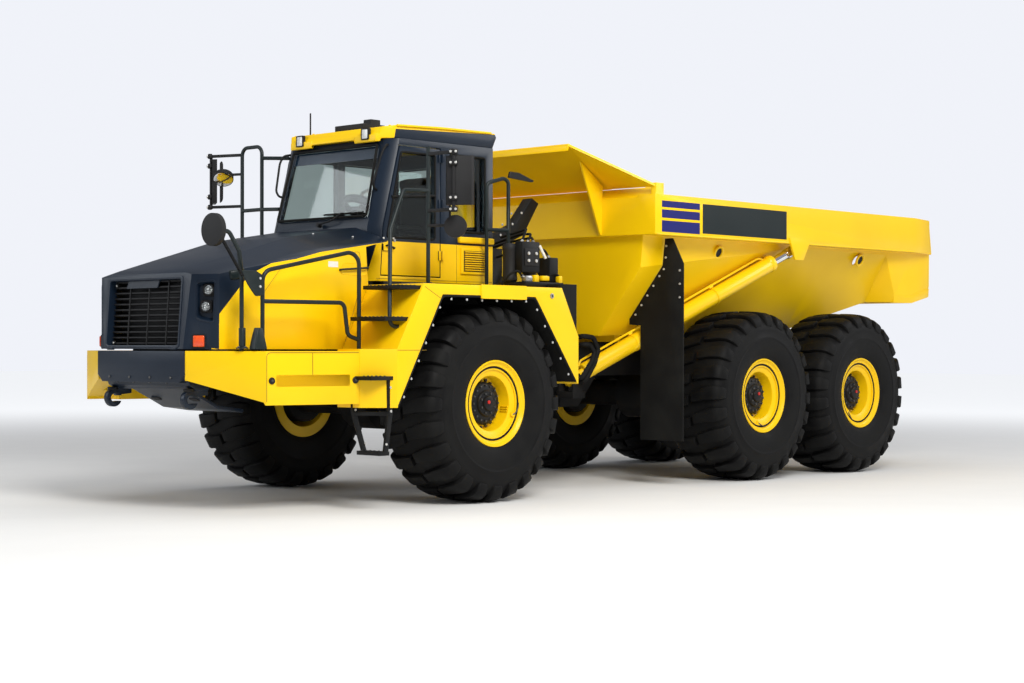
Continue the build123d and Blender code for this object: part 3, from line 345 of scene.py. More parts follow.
def selectFaces(obj, test):
    # edit mode with the faces whose middle and normal pass the test selected
    activate(obj)
    scene.tool_settings.mesh_select_mode = (False, False, True)
    mesh = obj.data
    for part in (mesh.vertices, mesh.edges, mesh.polygons):
        part.foreach_set("select", [False] * len(part))
    for face in mesh.polygons:
        face.select = test(face.center, face.normal)
    bpy.ops.object.mode_set(mode="EDIT")


def cutFaces(obj, test, *planes):
    # bisects the chosen faces by each (point, normal)
    for point, normal in planes:
        selectFaces(obj, test)
        bpy.ops.mesh.bisect(plane_co=point, plane_no=normal)
        bpy.ops.object.mode_set(mode="OBJECT")


def colourFaces(obj, test, index):
    for face in obj.data.polygons:
        if test(face.center, face.normal):
            face.material_index = index
    return obj


# shared effects

def preset(node, values):
    for label, value in values.items():
        node.inputs[label].default_value = value
    return node


def addNode(tree, kind, values={}):
    return preset(tree.nodes.new("ShaderNode" + kind), values)


def addGroup(tree, group, **values):
    node = tree.nodes.new("ShaderNodeGroup")
    node.node_tree = group
    return preset(node, values)


def addMix(tree, **colours):
    node = tree.nodes.new("ShaderNodeMix")
    node.data_type = "RGBA"
    return preset(node, {label: (*colour, 1) for label, colour in colours.items()})


def wire(tree, *joins):
    # each join is (node, its output, node, its input)
    for source, output, target, entry in joins:
        tree.links.new(source.outputs[output], target.inputs[entry])


def newGroup(name, given, result):
    group = bpy.data.node_groups.new(name, "ShaderNodeTree")
    for label, value in given.items():
        socket = group.interface.new_socket(label, in_out="INPUT", socket_type="NodeSocketFloat")
        socket.default_value = value
    group.interface.new_socket(result, in_out="OUTPUT", socket_type="NodeSocketFloat")
    return group, group.nodes.new("NodeGroupInput"), group.nodes.new("NodeGroupOutput"), addNode(group, "TexCoord")


# large soft blotches, 0 to 1
unevenness, given, result, coords = newGroup("unevenness", {"Scale": 2.0, "Low": 0.35, "High": 0.7}, "Mask")
noise, spread = addNode(unevenness, "TexNoise", {"Detail": 4}), addNode(unevenness, "MapRange")
wire(unevenness, (coords, "Object", noise, "Vector"), (given, "Scale", noise, "Scale"), (noise, "Fac", spread, "Value"),
     (given, "Low", spread, "From Min"), (given, "High", spread, "From Max"), (spread, "Result", result, "Mask"))

# dust that gathers near the ground, thinner with height
lowDust, given, result, coords = newGroup("lowDust", {"Top": 1.2, "Scale": 6.0}, "Mask")
split, noise = addNode(lowDust, "SeparateXYZ"), addNode(lowDust, "TexNoise", {"Detail": 6})
height = addNode(lowDust, "MapRange", {"From Min": 0.0, "To Min": 1.0, "To Max": 0.0})
patches = addNode(lowDust, "MapRange", {"From Min": 0.35, "From Max": 0.75})
both = addNode(lowDust, "Math")
both.operation = "MULTIPLY"
wire(lowDust, (coords, "Object", split, "Vector"), (split, "Z", height, "Value"), (given, "Top", height, "From Max"),
     (coords, "Object", noise, "Vector"), (given, "Scale", noise, "Scale"), (noise, "Fac", patches, "Value"),
     (height, "Result", both, 0), (patches, "Result", both, 1), (both, "Value", result, "Mask"))

# fine surface texture as a height
fineGrain, given, result, coords = newGroup("fineGrain", {"Scale": 300.0, "Detail": 3.0}, "Height")
noise = addNode(fineGrain, "TexNoise")
wire(fineGrain, (coords, "Object", noise, "Vector"), (given, "Scale", noise, "Scale"),
     (given, "Detail", noise, "Detail"), (noise, "Fac", result, "Height"))


def newMaterial(name, settings):
    material = bpy.data.materials.new(name)
    material.use_nodes = True
    return material, material.node_tree, preset(material.node_tree.nodes["Principled BSDF"], settings)


def makeFinish(name, colour, second, roughness, secondRoughness, metallic=0.0, coat=0.0, coatRoughness=0.08, shine=0.5,
               blotch=1.5, grain=400.0, grainHeight=0.0002, dust=None, dustColour=(0.2, 0.17, 0.12)):
    # a finish that varies between two colours and two roughnesses, with fine grain and optional dust
    material, tree, shader = newMaterial(name, {"Metallic": metallic, "Specular IOR Level": shine, "Coat Weight": coat,
                                                "Coat Roughness": coatRoughness})
    mask = addGroup(tree, unevenness, Scale=blotch)
    tint = addMix(tree, A=colour, B=second)
    gloss = addNode(tree, "MapRange", {"To Min": roughness, "To Max": secondRoughness})
    texture = addGroup(tree, fineGrain, Scale=grain)
    bump = addNode(tree, "Bump", {"Strength": 1.0, "Distance": grainHeight})
    wire(tree, (mask, "Mask", tint, "Factor"), (mask, "Mask", gloss, "Value"), (gloss, "Result", shader, "Roughness"),
         (texture, "Height", bump, "Height"), (bump, "Normal", shader, "Normal"))
    if dust:
        clean, tint, cover = tint, addMix(tree, B=dustColour), addGroup(tree, lowDust, Top=dust)
        wire(tree, (cover, "Mask", tint, "Factor"), (clean, "Result", tint, "A"))
    wire(tree, (tint, "Result", shader, "Base Color"))
    return material


def makeGlass(name, colour):
    material, tree, shader = newMaterial(name, {"Transmission Weight": 1.0, "IOR": 1.45, "Roughness": 0.02})
    mask = addGroup(tree, unevenness, Scale=0.8)
    tint = addMix(tree, A=colour, B=[value * 0.93 for value in colour])
    wire(tree, (mask, "Mask", tint, "Factor"), (tint, "Result", shader, "Base Color"))
    return material


yellowPaint = makeFinish("yellowPaint", (0.93, 0.585, 0.0015), (0.89, 0.545, 0.0015), 0.36, 0.44, coat=0.1,
                         coatRoughness=0.15, shine=0.22)
hoistPaint = makeFinish("hoistPaint", (0.94, 0.6, 0.003), (0.9, 0.56, 0.003), 0.3, 0.36, coat=0.2, shine=0.35)
navyPaint = makeFinish("navyPaint", (0.0055, 0.0115, 0.023), (0.007, 0.0145, 0.0285), 0.3, 0.38, coat=0.06,
                       coatRoughness=0.15, shine=0.26)
blackPaint = makeFinish("blackPaint", (0.005, 0.0055, 0.006), (0.009, 0.0095, 0.01), 0.42, 0.55, shine=0.18, blotch=3.0)
framePaint = makeFinish("framePaint", (0.008, 0.008, 0.0085), (0.014, 0.0135, 0.013), 0.5, 0.65, shine=0.1, blotch=3.0,
                        dust=0.9, dustColour=(0.05, 0.045, 0.038))
greyRail = makeFinish("greyRail", (0.01, 0.016, 0.017), (0.015, 0.022, 0.023), 0.34, 0.42, shine=0.25, blotch=5.0)
rubberBlack = makeFinish("rubberBlack", (0.008, 0.008, 0.008), (0.014, 0.014, 0.013), 0.62, 0.78, shine=0.1, blotch=4.0,
                         grain=700)
tyreRubber = makeFinish("tyreRubber", (0.0045, 0.0045, 0.0048), (0.009, 0.009, 0.0088), 0.5, 0.7, shine=0.12,
                        blotch=6.0, grain=260, grainHeight=0.0006)
hubBlack = makeFinish("hubBlack", (0.006, 0.006, 0.007), (0.012, 0.012, 0.012), 0.38, 0.5, shine=0.2, blotch=5.0)
steelDark = makeFinish("steelDark", (0.1, 0.1, 0.1), (0.06, 0.06, 0.06), 0.35, 0.5, metallic=0.8, blotch=9.0)
signalRed = makeFinish("signalRed", (0.55, 0.012, 0.008), (0.42, 0.01, 0.008), 0.25, 0.35, blotch=9.0)
lensOrange = makeFinish("lensOrange", (0.8, 0.09, 0.01), (0.62, 0.05, 0.01), 0.16, 0.25, blotch=30.0, coat=0.6)
decalBlue = makeFinish("decalBlue", (0.007, 0.01, 0.135), (0.006, 0.008, 0.115), 0.34, 0.42, shine=0.2)
decalDark = makeFinish("decalDark", (0.007, 0.0125, 0.0135), (0.01, 0.016, 0.017), 0.32, 0.42, shine=0.2)
labelWhite = makeFinish("labelWhite", (0.75, 0.74, 0.68), (0.66, 0.65, 0.6), 0.4, 0.5)
boltWhite = makeFinish("boltWhite", (0.62, 0.62, 0.6), (0.5, 0.5, 0.49), 0.35, 0.5, metallic=0.4, blotch=20)
plasticBlack = makeFinish("plasticBlack", (0.012, 0.012, 0.013), (0.018, 0.018, 0.019), 0.5, 0.6, shine=0.2, blotch=5,
                          grain=900)
seatCloth = makeFinish("seatCloth", (0.02, 0.02, 0.024), (0.03, 0.03, 0.034), 0.85, 0.95, grain=1200,
                       grainHeight=0.0008)
steelGrey = makeFinish("steelGrey", (0.45, 0.45, 0.44), (0.36, 0.36, 0.35), 0.3, 0.42, metallic=0.9, blotch=8)
chromeRod = makeFinish("chromeRod", (0.85, 0.86, 0.87), (0.8, 0.81, 0.82), 0.1, 0.16, metallic=1.0, grain=600,
                       grainHeight=0.00005)
engineGrey = makeFinish("engineGrey", (0.06, 0.06, 0.06), (0.09, 0.09, 0.088), 0.55, 0.7, blotch=4)
# yellow paint darkened as painted shade, for the thin lines along panel seams
paintedSeamShade = makeFinish("paintedSeamShade", (0.3, 0.17, 0.004), (0.25, 0.14, 0.004), 0.6, 0.7)
windowGlass = makeGlass("windowGlass", (0.86, 0.965, 0.93))
shadeGlass = makeFinish("shadeGlass", (0.01, 0.022, 0.04), (0.014, 0.03, 0.05), 0.08, 0.12, coat=0.8)
lampWhite = makeFinish("lampWhite", (0.72, 0.73, 0.72), (0.6, 0.61, 0.6), 0.16, 0.24, blotch=40.0, coat=0.7)
mirrorSilver = makeFinish("mirrorSilver", (0.8, 0.82, 0.84), (0.76, 0.78, 0.8), 0.03, 0.06, metallic=1.0)
lensClear = makeGlass("lensClear", (0.95, 0.97, 0.97))
print("finishes ready")

# camera, light and floor
cameraPlan = {"place": (12.98, 13.57, 1.46), "heading": -134.75, "pitch": -0.51, "roll": 0.1, "clipEnd": 200,
              "lens": 1882 / 1024 * 36, "sensor": 36, "shift": (0.1035, 0.0215)}
heading, pitch = math.radians(cameraPlan["heading"]), math.radians(cameraPlan["pitch"])
forward = Vector((math.cos(heading) * math.cos(pitch), math.sin(heading) * math.cos(pitch), math.sin(pitch)))
cameraData = bpy.data.cameras.new("camera")
cameraData.lens = cameraPlan["lens"]
cameraData.sensor_width = cameraPlan["sensor"]
cameraData.shift_x, cameraData.shift_y = cameraPlan["shift"]
cameraData.clip_end = cameraPlan["clipEnd"]
camera = linked("camera", cameraData)
camera.rotation_euler = (forward.to_track_quat("-Z", "Y").to_matrix()
                         @ Matrix.Rotation(math.radians(cameraPlan["roll"]), 3, "Z")).to_euler()
camera.location = at(*cameraPlan["place"])
scene.camera = camera

lightPlan = {                   # place, target, size, power, colour
    "keyLight": ((8, 12, 11), (0, 0, 1.5), (6, 6), 2300, (1.0, 0.98, 0.94)),
    "fillLight": ((13, -7, 6), (0, 0, 1.5), (8, 6), 420, (0.92, 0.96, 1.0)),
    "rearLight": ((-11, 10, 8), (-2, 0, 1.5), (8, 6), 650, (1, 1, 1)),
    "topLight": ((0, 0, 14), (0, 0, 0), (14, 10), 520, (1, 1, 1)),
}
for name, (place, target, size, power, colour) in lightPlan.items():
    light = bpy.data.lights.new(name, "AREA")
    light.shape = "RECTANGLE"
    light.size, light.size_y = size
    light.energy = power
    light.color = colour
    lamp = linked(name, light)
    lamp.location = place
    lamp.rotation_euler = (Vector(target) - Vector(place)).to_track_quat("-Z", "Y").to_euler()

# the backdrop is near white to the camera, the light it gives is softer
world = bpy.data.worlds.new("world")
world.use_nodes = True
backdrop = world.node_tree.nodes["Background"]
backdrop.inputs["Color"].default_value = (0.92, 0.94, 1.0, 1)
rayKind = addNode(world.node_tree, "LightPath")
strength = addNode(world.node_tree, "MapRange", {"To Min": 0.3, "To Max": 0.95})
wire(world.node_tree, (rayKind, "Is Camera Ray", strength, "Value"), (strength, "Result", backdrop, "Strength"))
scene.world = world
scene.view_settings.view_transform = "Standard"

# far from the truck the floor brightens to meet the backdrop
bpy.ops.mesh.primitive_plane_add(size=160, location=(0, 0, 0))
floor = bpy.context.object
floor.name = "floor"
floorPaper = makeFinish("floorPaper", (0.82, 0.82, 0.81), (0.8, 0.8, 0.79), 0.8, 0.9, grain=20, grainHeight=0.0001)
floorTree = floorPaper.node_tree
floorShader = floorTree.nodes["Principled BSDF"]
floorShader.inputs["Emission Color"].default_value = (0.95, 0.97, 1.0, 1)
floorPlace, reach = addNode(floorTree, "TexCoord"), addNode(floorTree, "VectorMath")
reach.operation = "LENGTH"
fade = addNode(floorTree, "MapRange", {"From Min": 7, "From Max": 26, "To Max": 0.68})
fade.interpolation_type = "SMOOTHSTEP"
wire(floorTree, (floorPlace, "Object", reach, 0), (reach, "Value", fade, "Value"),
     (fade, "Result", floorShader, "Emission Strength"))
paint(floor, floorPaper)
print("camera and light ready")

# wheels: one tyre and one rim are modelled about the origin, outboard along +Y, and copied
treadBars = 24
treadBarSections = [            # offset and radius of the top, of the foot, start and end along the tread
    (0.022, 0.93, 0.022, 0.884, -0.008, 0.092), (0.11, 0.9285, 0.11, 0.884, -0.034, 0.08),
    (0.185, 0.925, 0.182, 0.88, -0.064, 0.066), (0.27, 0.915, 0.258, 0.868, -0.08, 0.064),
    (0.322, 0.896, 0.297, 0.85, -0.083, 0.064), (0.354, 0.862, 0.32, 0.822, -0.081, 0.061),
    (0.37, 0.815, 0.343, 0.79, -0.076, 0.055), (0.373, 0.772, 0.362, 0.762, -0.064, 0.044),
]
rows = []
for topY, topR, footY, footR, start, end in treadBarSections:
    profile = ((start - 0.007, footR, footY), (start, topR, topY), (end, topR, topY), (end + 0.007, footR, footY))
    rows.append([(radius * math.sin(along / 0.93), offset, radius * math.cos(along / 0.93))
                 for along, radius, offset in profile])
carcassHalf = [(0.33, 0.0), (0.33, 0.29), (0.4, 0.3), (0.409, 0.322), (0.424, 0.332), (0.44, 0.336),
               (0.446, 0.341), (0.462, 0.346), (0.5, 0.358), (0.56, 0.368), (0.61, 0.371), (0.628, 0.3712),
               (0.634, 0.375), (0.644, 0.375), (0.65, 0.3712), (0.72, 0.37), (0.762, 0.364), (0.8, 0.345),
               (0.83, 0.322), (0.855, 0.298), (0.872, 0.262), (0.882, 0.19), (0.886, 0.1), (0.887, 0.0)]
carcass = spun("tyreModel", carcassHalf + [(r, -y) for r, y in reversed(carcassHalf[1:-1])], 96, smoothing=0)
bar = bevelEdges(skin("treadBar", rows), 0.006, 2, 32)
otherBar = turned(bar, Matrix.Rotation(math.pi, 4, "Z"))
bars = []
for step in range(treadBars):
    angle = math.tau * step / treadBars
    bars.append(turned(bar, Matrix.Rotation(angle, 4, "Y")))
    bars.append(turned(otherBar, Matrix.Rotation(angle + math.pi / treadBars, 4, "Y")))
discard(bar, otherBar)
tyreModel = dress(joinAs("tyreModel", [carcass] + bars), tyreRubber, 38)

rimProfile = [(0.406, -0.322), (0.406, -0.3), (0.33, -0.296), (0.318, -0.288), (0.318, 0.286), (0.345, 0.292),
              (0.404, 0.302), (0.409, 0.316), (0.404, 0.326), (0.394, 0.325), (0.386, 0.317), (0.374, 0.303),
              (0.364, 0.298), (0.353, 0.298), (0.349, 0.286), (0.34, 0.28), (0.304, 0.269), (0.27, 0.262),
              (0.26, 0.255), (0.256, 0.242), (0.256, 0.138), (0.251, 0.126), (0.238, 0.119), (0.15, 0.117),
              (0.11, 0.117), (0.11, 0.08), (0.235, 0.084), (0.262, 0.06), (0.296, 0.03), (0.296, -0.302),
              (0.302, -0.322)]
hubProfile = [(0.0, 0.252), (0.046, 0.252), (0.064, 0.247), (0.07, 0.238), (0.072, 0.226), (0.116, 0.222),
              (0.124, 0.214), (0.127, 0.2), (0.15, 0.196), (0.186, 0.187), (0.199, 0.177), (0.204, 0.16),
              (0.204, 0.112), (0.0, 0.112)]
rimPieces = [spun("rimModel", rimProfile, 96, yellowPaint), spun("hub", hubProfile, 64, hubBlack)]
boltHead = turnedRound((0, 0, 0.006), upward, 0.0115, 0.016, 6, 0.002)
nutHead = turnedRound((0, 0, 0.011), upward, 0.0155, 0.026, 6, 0.003)
for template, count, radius, along, phase in ((boltHead, 16, 0.168, 0.19, 0), (boltHead, 8, 0.096, 0.222, 0.5),
                                              (nutHead, 20, 0.226, 0.117, 0)):
    angles = [math.tau * (step + phase) / count for step in range(count)]
    rimPieces += scatter(template, [((radius * math.cos(angle), along, radius * math.sin(angle)), (0, 1, 0))
                                    for angle in angles], steelDark)
rimPieces.append(turnedRound((0.018, 0.254, 0.012), (0, 1, 0), 0.017, 0.012, 16, 0.002, signalRed))
for turn in (math.radians(188), math.radians(193), math.radians(198)):
    rimPieces.append(turnedRound((0.25 * math.cos(turn), 0.205, 0.25 * math.sin(turn)), (0, 1, 0), 0.007, 0.085, 10,
                                 0.002, yellowPaint))
clamp = roundedBox((0.312, 0.277, 0), (0.062, 0.024, 0.03), 0.006, yellowPaint)
stem = tube([(0.3, 0.285, 0.0), (0.322, 0.3, -0.03), (0.328, 0.302, -0.09), (0.32, 0.298, -0.13)], 0.006,
            steelDark, 0.03)
for piece in (clamp, stem):
    piece.data.transform(Matrix.Rotation(math.radians(-202), 4, "Y"))
rimModel = joinAs("rimModel", rimPieces + [clamp, stem])
for axle, x in (("front", 0), ("center", -4.35), ("rear", -6.32)):
    for sideName, side in (("left", 1), ("right", -1)):
        wheel = f"{axle}_{sideName}"
        place = Matrix.Translation(at(x, side * trackHalf, tyreRadius))
        turn = sideTurn(side) @ Matrix.Rotation(0.31 * x, 4, "Y")
        for model, node in ((tyreModel, wheel + "_tyre"), (rimModel, wheel + "_rim")):
            copy = turned(model, place @ turn)
            copy.name = copy.data.name = node + "_model"
            finishPiece(copy, wheel + "_wheel", slotOf[node], node)
discard(tyreModel, rimModel, boltHead, nutHead)
print("wheels ready")

# hood: navy top and nose over yellow sides, with lamp pockets in the cut corners
hood = softCopy("hood_shell", 0.012, navyPaint, yellowPaint)
hoodTone = {"peak": (2.54, 1.0, 2.0), "lean": (-6.99, 5.65, -3.7), "rise": (2.05, 1.0, 2.24),
            "riseNormal": (0.22, 0, 0.45)}
cornerFace = {"edge": (2.852, 0.6, 0), "along": (-0.6285, 0.7778, 0), "normal": (0.7778, 0.6285, 0)}
pocketCorners = [(0.12, 1.7), (0.272, 1.668), (0.288, 2.03), (0.122, 2.018)]


def onCorner(side, along, z, out=0.0):
    # a point on the cut corner from its distance past the front edge and its height
    x, y, level = (edge + run * along + normal * out for edge, run, normal in zip(*cornerFace.values()))
    return onSide(side, x, y, z + level)


def tonePlanes(side):
    # the two planes that part navy from yellow
    return ((onSide(side, *hoodTone["peak"]), mirrored(hoodTone["lean"], side)),
            (onSide(side, *hoodTone["rise"]), Vector(hoodTone["riseNormal"])))


def sideIsYellow(middle, normal):
    side = 1 if middle.y > 0 else -1
    (peak, lean), (rise, riseNormal) = tonePlanes(side)
    return (abs(middle.y) > 0.7 and normal.y * side > 0.5 and abs(normal.z) < 0.5
            and lean.dot(middle - peak) > 0 and riseNormal.dot(middle - rise) < 0)


for side in (1, -1):
    cutFaces(hood, lambda middle, normal: middle.y * side > 0.3, *tonePlanes(side))
    # the pocket's opening: the skin between its four edges comes out
    corners = [onCorner(side, along, z) for along, z in pocketCorners]
    out = mirrored(cornerFace["normal"], side)
    centre = sum(corners, Vector((0, 0, 0))) / 4
    edges = []
    for first, second in zip(corners, corners[1:] + corners[:1]):
        normal = (second - first).cross(out).normalized()
        if normal.dot(centre - first) < 0:
            normal.negate()
        edges.append((first + normal * 0.008, normal))
    cutFaces(hood, lambda middle, normal: middle.y * side > 0.3 and abs((middle - centre).dot(out)) < 0.04
             and abs(middle.z - centre.z) < 0.8, *edges)
    selectFaces(hood, lambda middle, normal: abs((middle - centre).dot(out)) < 0.07
                and all((middle - point).dot(inward) > -0.0005 for point, inward in edges))
    bpy.ops.mesh.delete(type="FACE")
    bpy.ops.object.mode_set(mode="OBJECT")
colourFaces(hood, sideIsYellow, 1)

# lamp: housing ring, bright bowl, bulb and clear lens, facing +Y
lampModel = joinAs("lampModel", [
    spun("lampRing", [(0.058, -0.045), (0.066, -0.04), (0.067, 0.004), (0.063, 0.01), (0.056, 0.01), (0.052, 0.004),
                      (0.051, -0.04)], 40, plasticBlack),
    spun("lampBowl", [(0.0, -0.044), (0.018, -0.042), (0.036, -0.034), (0.047, -0.018), (0.052, 0.002), (0.053, -0.002),
                      (0.048, -0.024), (0.036, -0.04), (0.018, -0.047), (0.0, -0.048)], 40, chromeRod),
    spun("lampBulb", [(0.0, -0.012), (0.006, -0.014), (0.009, -0.022), (0.008, -0.044), (0.0, -0.046)], 16, steelGrey),
    spun("lampLens", [(0.0, 0.012), (0.025, 0.011), (0.045, 0.007), (0.0535, 0.001), (0.0535, -0.003), (0.045, 0.003),
                      (0.025, 0.007), (0.0, 0.008)], 40, lensClear)])
lampModel.data.transform(Matrix.Scale(0.74, 4))
smallBolt = turnedRound((0, 0, 0.003), upward, 0.01, 0.01, 6, 0.002)
bolt = turnedRound((0, 0, 0.004), upward, 0.0125, 0.01, 6, 0.002)
largeBolt = turnedRound((0, 0, 0.006), upward, 0.017, 0.014, 6, 0.003)


def pocketLoop(side, grow):
    middle = Vector((0.205, 1.855))
    loop = []
    for corner in pocketCorners:
        towards = Vector(corner) - middle
        loop.append(middle + towards * (1 + grow / towards.length))
    if side < 0:
        loop = [Vector((-point.x, point.y)) for point in reversed(loop)]
    return roundedLoop(loop, 0.035, 5)


hoodPieces, lampPieces = [hood], []
for side in (1, -1):
    across, out = mirrored(cornerFace["along"], side) * side, mirrored(cornerFace["normal"], side)
    basin = [(pocketLoop(side, grow), sink) for grow, sink in
             ((0.012, -0.004), (0.01, 0.004), (0.0, 0.006), (-0.008, 0.0), (-0.024, -0.046), (-0.034, -0.055))]
    hoodPieces.append(layered("lampPocket", basin, onCorner(side, 0, 0), across, upward, navyPaint, 40, False))
    for along, z in ((0.225, 1.951), (0.2, 1.807)):
        lampPieces += [plate("lampSeat", oblong(0.052, 0.056), onCorner(side, along, z, -0.052), across, upward,
                             0.012, plasticBlack, 0.02),
                       faced(lampModel, onCorner(side, along, z, -0.008), out)]
    # turn signal in its black frame
    signal = onCorner(side, 0.143, 1.505)
    lampPieces.append(plate("signalFrame", oblong(0.06, 0.06), signal, across, upward, 0.01, plasticBlack, 0.012))
    lens = [(roundedLoop(oblong(0.06 * share, 0.06 * share), 0.012), height)
            for share, height in ((0.82, 0.008), (0.82, 0.017), (0.72, 0.024), (0.3, 0.026))]
    lampPieces.append(layered("signalLens", lens, signal, across, upward, lensOrange, 50))
    # hood bolts, and on the shoulder the black block that steadies the mirror post
    hoodPieces += scatter(smallBolt, [(at(x, side * y, z), (0.2, side * 0.25, 1))
                                      for x, y, z in ((1.29, 0.548, 2.505), (1.02, 0.8, 2.478))], boltWhite)
    hoodPieces.append(roundedBox(at(2.47, side * 0.862, 2.09), (0.16, 0.085, 0.085), 0.018, decalDark,
                                 (0, 0.16, side * -0.25), smoothing=50))
    # panel seams round the side door, drawn as thin lines of painted shade
    seam = ((2.3, 1.5), (2.3, 1.9), (2.06, 2.17), (1.12, 2.335), (1.1, 2.05), (1.3, 1.5))
    hoodPieces.append(tube([at(x, side * 1.0005, z) for x, z in seam], 0.0022, paintedSeamShade, 0.04, resolution=1))

# latch in its shallow dish, and a blank label
dishCorners = [(-1.37, 2.118), (-1.02, 2.112), (-1.03, 2.222), (-1.34, 2.228)]
dishMiddle = Vector((-1.19, 2.17))
dishLoops = []
for shrink, height in ((0, -0.002), (0, 0.003), (0.03, 0.004), (0.1, 0.0012), (0.16, 0.0008)):
    loop = [dishMiddle + (Vector(point) - dishMiddle) * (1 - shrink) for point in dishCorners]
    dishLoops.append((roundedLoop(loop, 0.055, 5), height))
hoodPieces += [layered("latchDish", dishLoops, at(0, 1.0, 0), (-1, 0, 0), upward, yellowPaint, 50),
               tube([at(1.37, 1.002, 2.158), at(1.37, 1.03, 2.16), at(1.035, 1.03, 2.186), at(1.035, 1.002, 2.186)],
                    0.0095, greyRail, 0.02),
               plate("blankLabel", [(-1.51, 2.18), (-1.39, 2.18), (-1.39, 2.232), (-1.51, 2.232)], at(0, 1.0, 0),
                     (-1, 0, 0), upward, 0.0016, labelWhite, 0.004, 0.0006, 0)]
standIn("hood_shell", hoodPieces, "hood_panel")
standIn("headlamps", lampPieces)

# grille: one louvre blade copied down the opening, ribs, corner bolts and a blank plate
grille = {"half": 0.517, "low": 1.46, "high": 2.072, "frontX": 2.786, "slope": 42 / 570, "count": 12, "rim": 0.535,
          "lean": 50 / 670}
bladeProfile = [Vector(point) for point in ((0.004, -0.01), (0.008, -0.004), (0.006, 0.003), (0.0, 0.006),
                                            (-0.04, -0.012), (-0.041, -0.016), (-0.002, 0.001), (0.002, -0.002),
                                            (0.001, -0.008))]
blade = layered("louvre", [(bladeProfile, -grille["half"]), (bladeProfile, grille["half"])], (0, 0, 0), (1, 0, 0),
                upward, plasticBlack, 40)
grillePieces = []
for step in range(grille["count"]):
    rise = 0.03 + step * (grille["high"] - grille["low"] - 0.06) / (grille["count"] - 1)
    spot = at(grille["frontX"] - rise * grille["slope"], 0, grille["low"] + rise)
    grillePieces.append(turned(blade, Matrix.Translation(spot)))
discard(blade)
for y in (-0.28, 0.0, 0.28):
    grillePieces.append(plate("grilleRib", [(2.791, 1.465), (2.799, 1.465), (2.754, 2.067), (2.746, 2.067)],
                              at(0, y + 0.006, 0), (1, 0, 0), upward, 0.012, plasticBlack, 0.002, 0.002, 40))
grillePieces.append(roundedBox(at(2.64, 0, 1.76), (0.05, 1.1, 0.6), 0.006, plasticBlack, smoothing=40))
# cheeks round the opening, with a rolled front edge
leanUp = Vector((-grille["lean"], 0, 1)).normalized()
leanOrigin = at(2.852 + 1.436 * grille["lean"], 0, 0)
cheeks = []
for grow, height in ((0.01, -0.006), (0.01, 0.004), (-0.002, 0.007), (-0.014, 0.002), (-0.018, -0.075)):
    half, low, high = grille["rim"] + grow, grille["low"] - grow, grille["high"] + grow
    cheeks.append((roundedLoop([(-half, low), (half, low), (half, high), (-half, high)], 0.03), height))
grillePieces.append(layered("grilleCheeks", cheeks, leanOrigin, (0, 1, 0), leanUp, navyPaint, 40, False, False))
for y in (-0.485, 0.485):
    for z in (1.492, 2.01):
        x, facing = grille["frontX"] - (z - grille["low"]) * grille["slope"] + 0.01, (1, 0, 0.07)
        grillePieces.append(turnedRound(at(x, y, z), facing, 0.02, 0.01, 20, 0.002, plasticBlack))
        grillePieces += scatter(smallBolt, [(at(x + 0.005, y, z), facing)], boltWhite)
grillePieces.append(plate("blankPlate", [(-0.33, 1.985), (0.13, 1.985), (0.16, 2.055), (-0.3, 2.055)],
                          leanOrigin + Vector((-0.052, 0, 0)), (0, 1, 0), leanUp, 0.012, navyPaint, 0.008, 0.004))
standIn("front_grille", grillePieces)
print("hood ready")

# cab: yellow below the windows, seals, wiper, loops and vent
cabLine = 2.462                 # height where the yellow starts
sillFace = 0.781                # distance of the side windows from the middle


def twoTone(node, width):
    panel = softCopy(node, width, navyPaint, yellowPaint, merged=False)
    cutFaces(panel, lambda middle, normal: True, (at(0, 0, cabLine), (0, 0, 1)))
    return colourFaces(panel, lambda middle, normal: middle.z < cabLine and abs(middle.y) > 0.7
                       and abs(normal.y) > 0.35, 1)


def screenPoint(y, rise, out=0.0):
    # a point on the windscreen from its offset and its distance up the slope
    return at(0.655 - 0.259 * rise + 0.966 * out, y, 2.69 + 0.966 * rise + 0.259 * out)


def seal(points, radius=0.011):
    return tube(points, radius, rubberBlack, 0.03, closed=True, resolution=2)


# a thin line along a panel seam, coloured with painted shade
def seamLine(points, radius=0.0022, bend=0.0):
    return tube(points, radius, paintedSeamShade, bend, resolution=1)


doorWindow = [(0.56, 2.5), (0.372, 3.32), (-0.09, 3.32), (-0.09, 2.5)]
quarterWindow = [(-0.3, 2.59), (-0.3, 3.34), (-0.8, 3.34), (-0.8, 2.59)]
rightWindow = [(0.6, 2.54), (0.41, 3.34), (-0.2, 3.34), (-0.2, 2.54)]
pillarLoop = [(0.47, 0.7, 3.385), (0.53, 0.735, 3.375), (0.585, 0.735, 3.3), (0.665, 0.7, 3.01),
              (0.64, 0.69, 2.96), (0.6, 0.68, 2.95)]
cabPieces = [twoTone("cab_shell", 0.012),
             seal([screenPoint(y, rise, 0.044) for y, rise in ((-0.64, 0), (0.64, 0), (0.6, 0.714), (-0.6, 0.714))],
                  0.013),
             seal([at(-0.921, y, z) for y, z in ((-0.575, 2.66), (0.575, 2.66), (0.575, 3.3), (-0.575, 3.3))]),
             plate("shadeBand", [(-0.606, 0.585), (0.606, 0.585), (0.601, 0.706), (-0.601, 0.706)],
                   screenPoint(0, 0, 0.01), (0, 1, 0), (-0.259, 0, 0.966), 0.003, shadeGlass, 0.01, 0.001, 0)]
cabPieces += [seal([at(x, side * sillFace, z) for x, z in window])
              for side, window in ((1, quarterWindow), (-1, quarterWindow), (-1, rightWindow))]
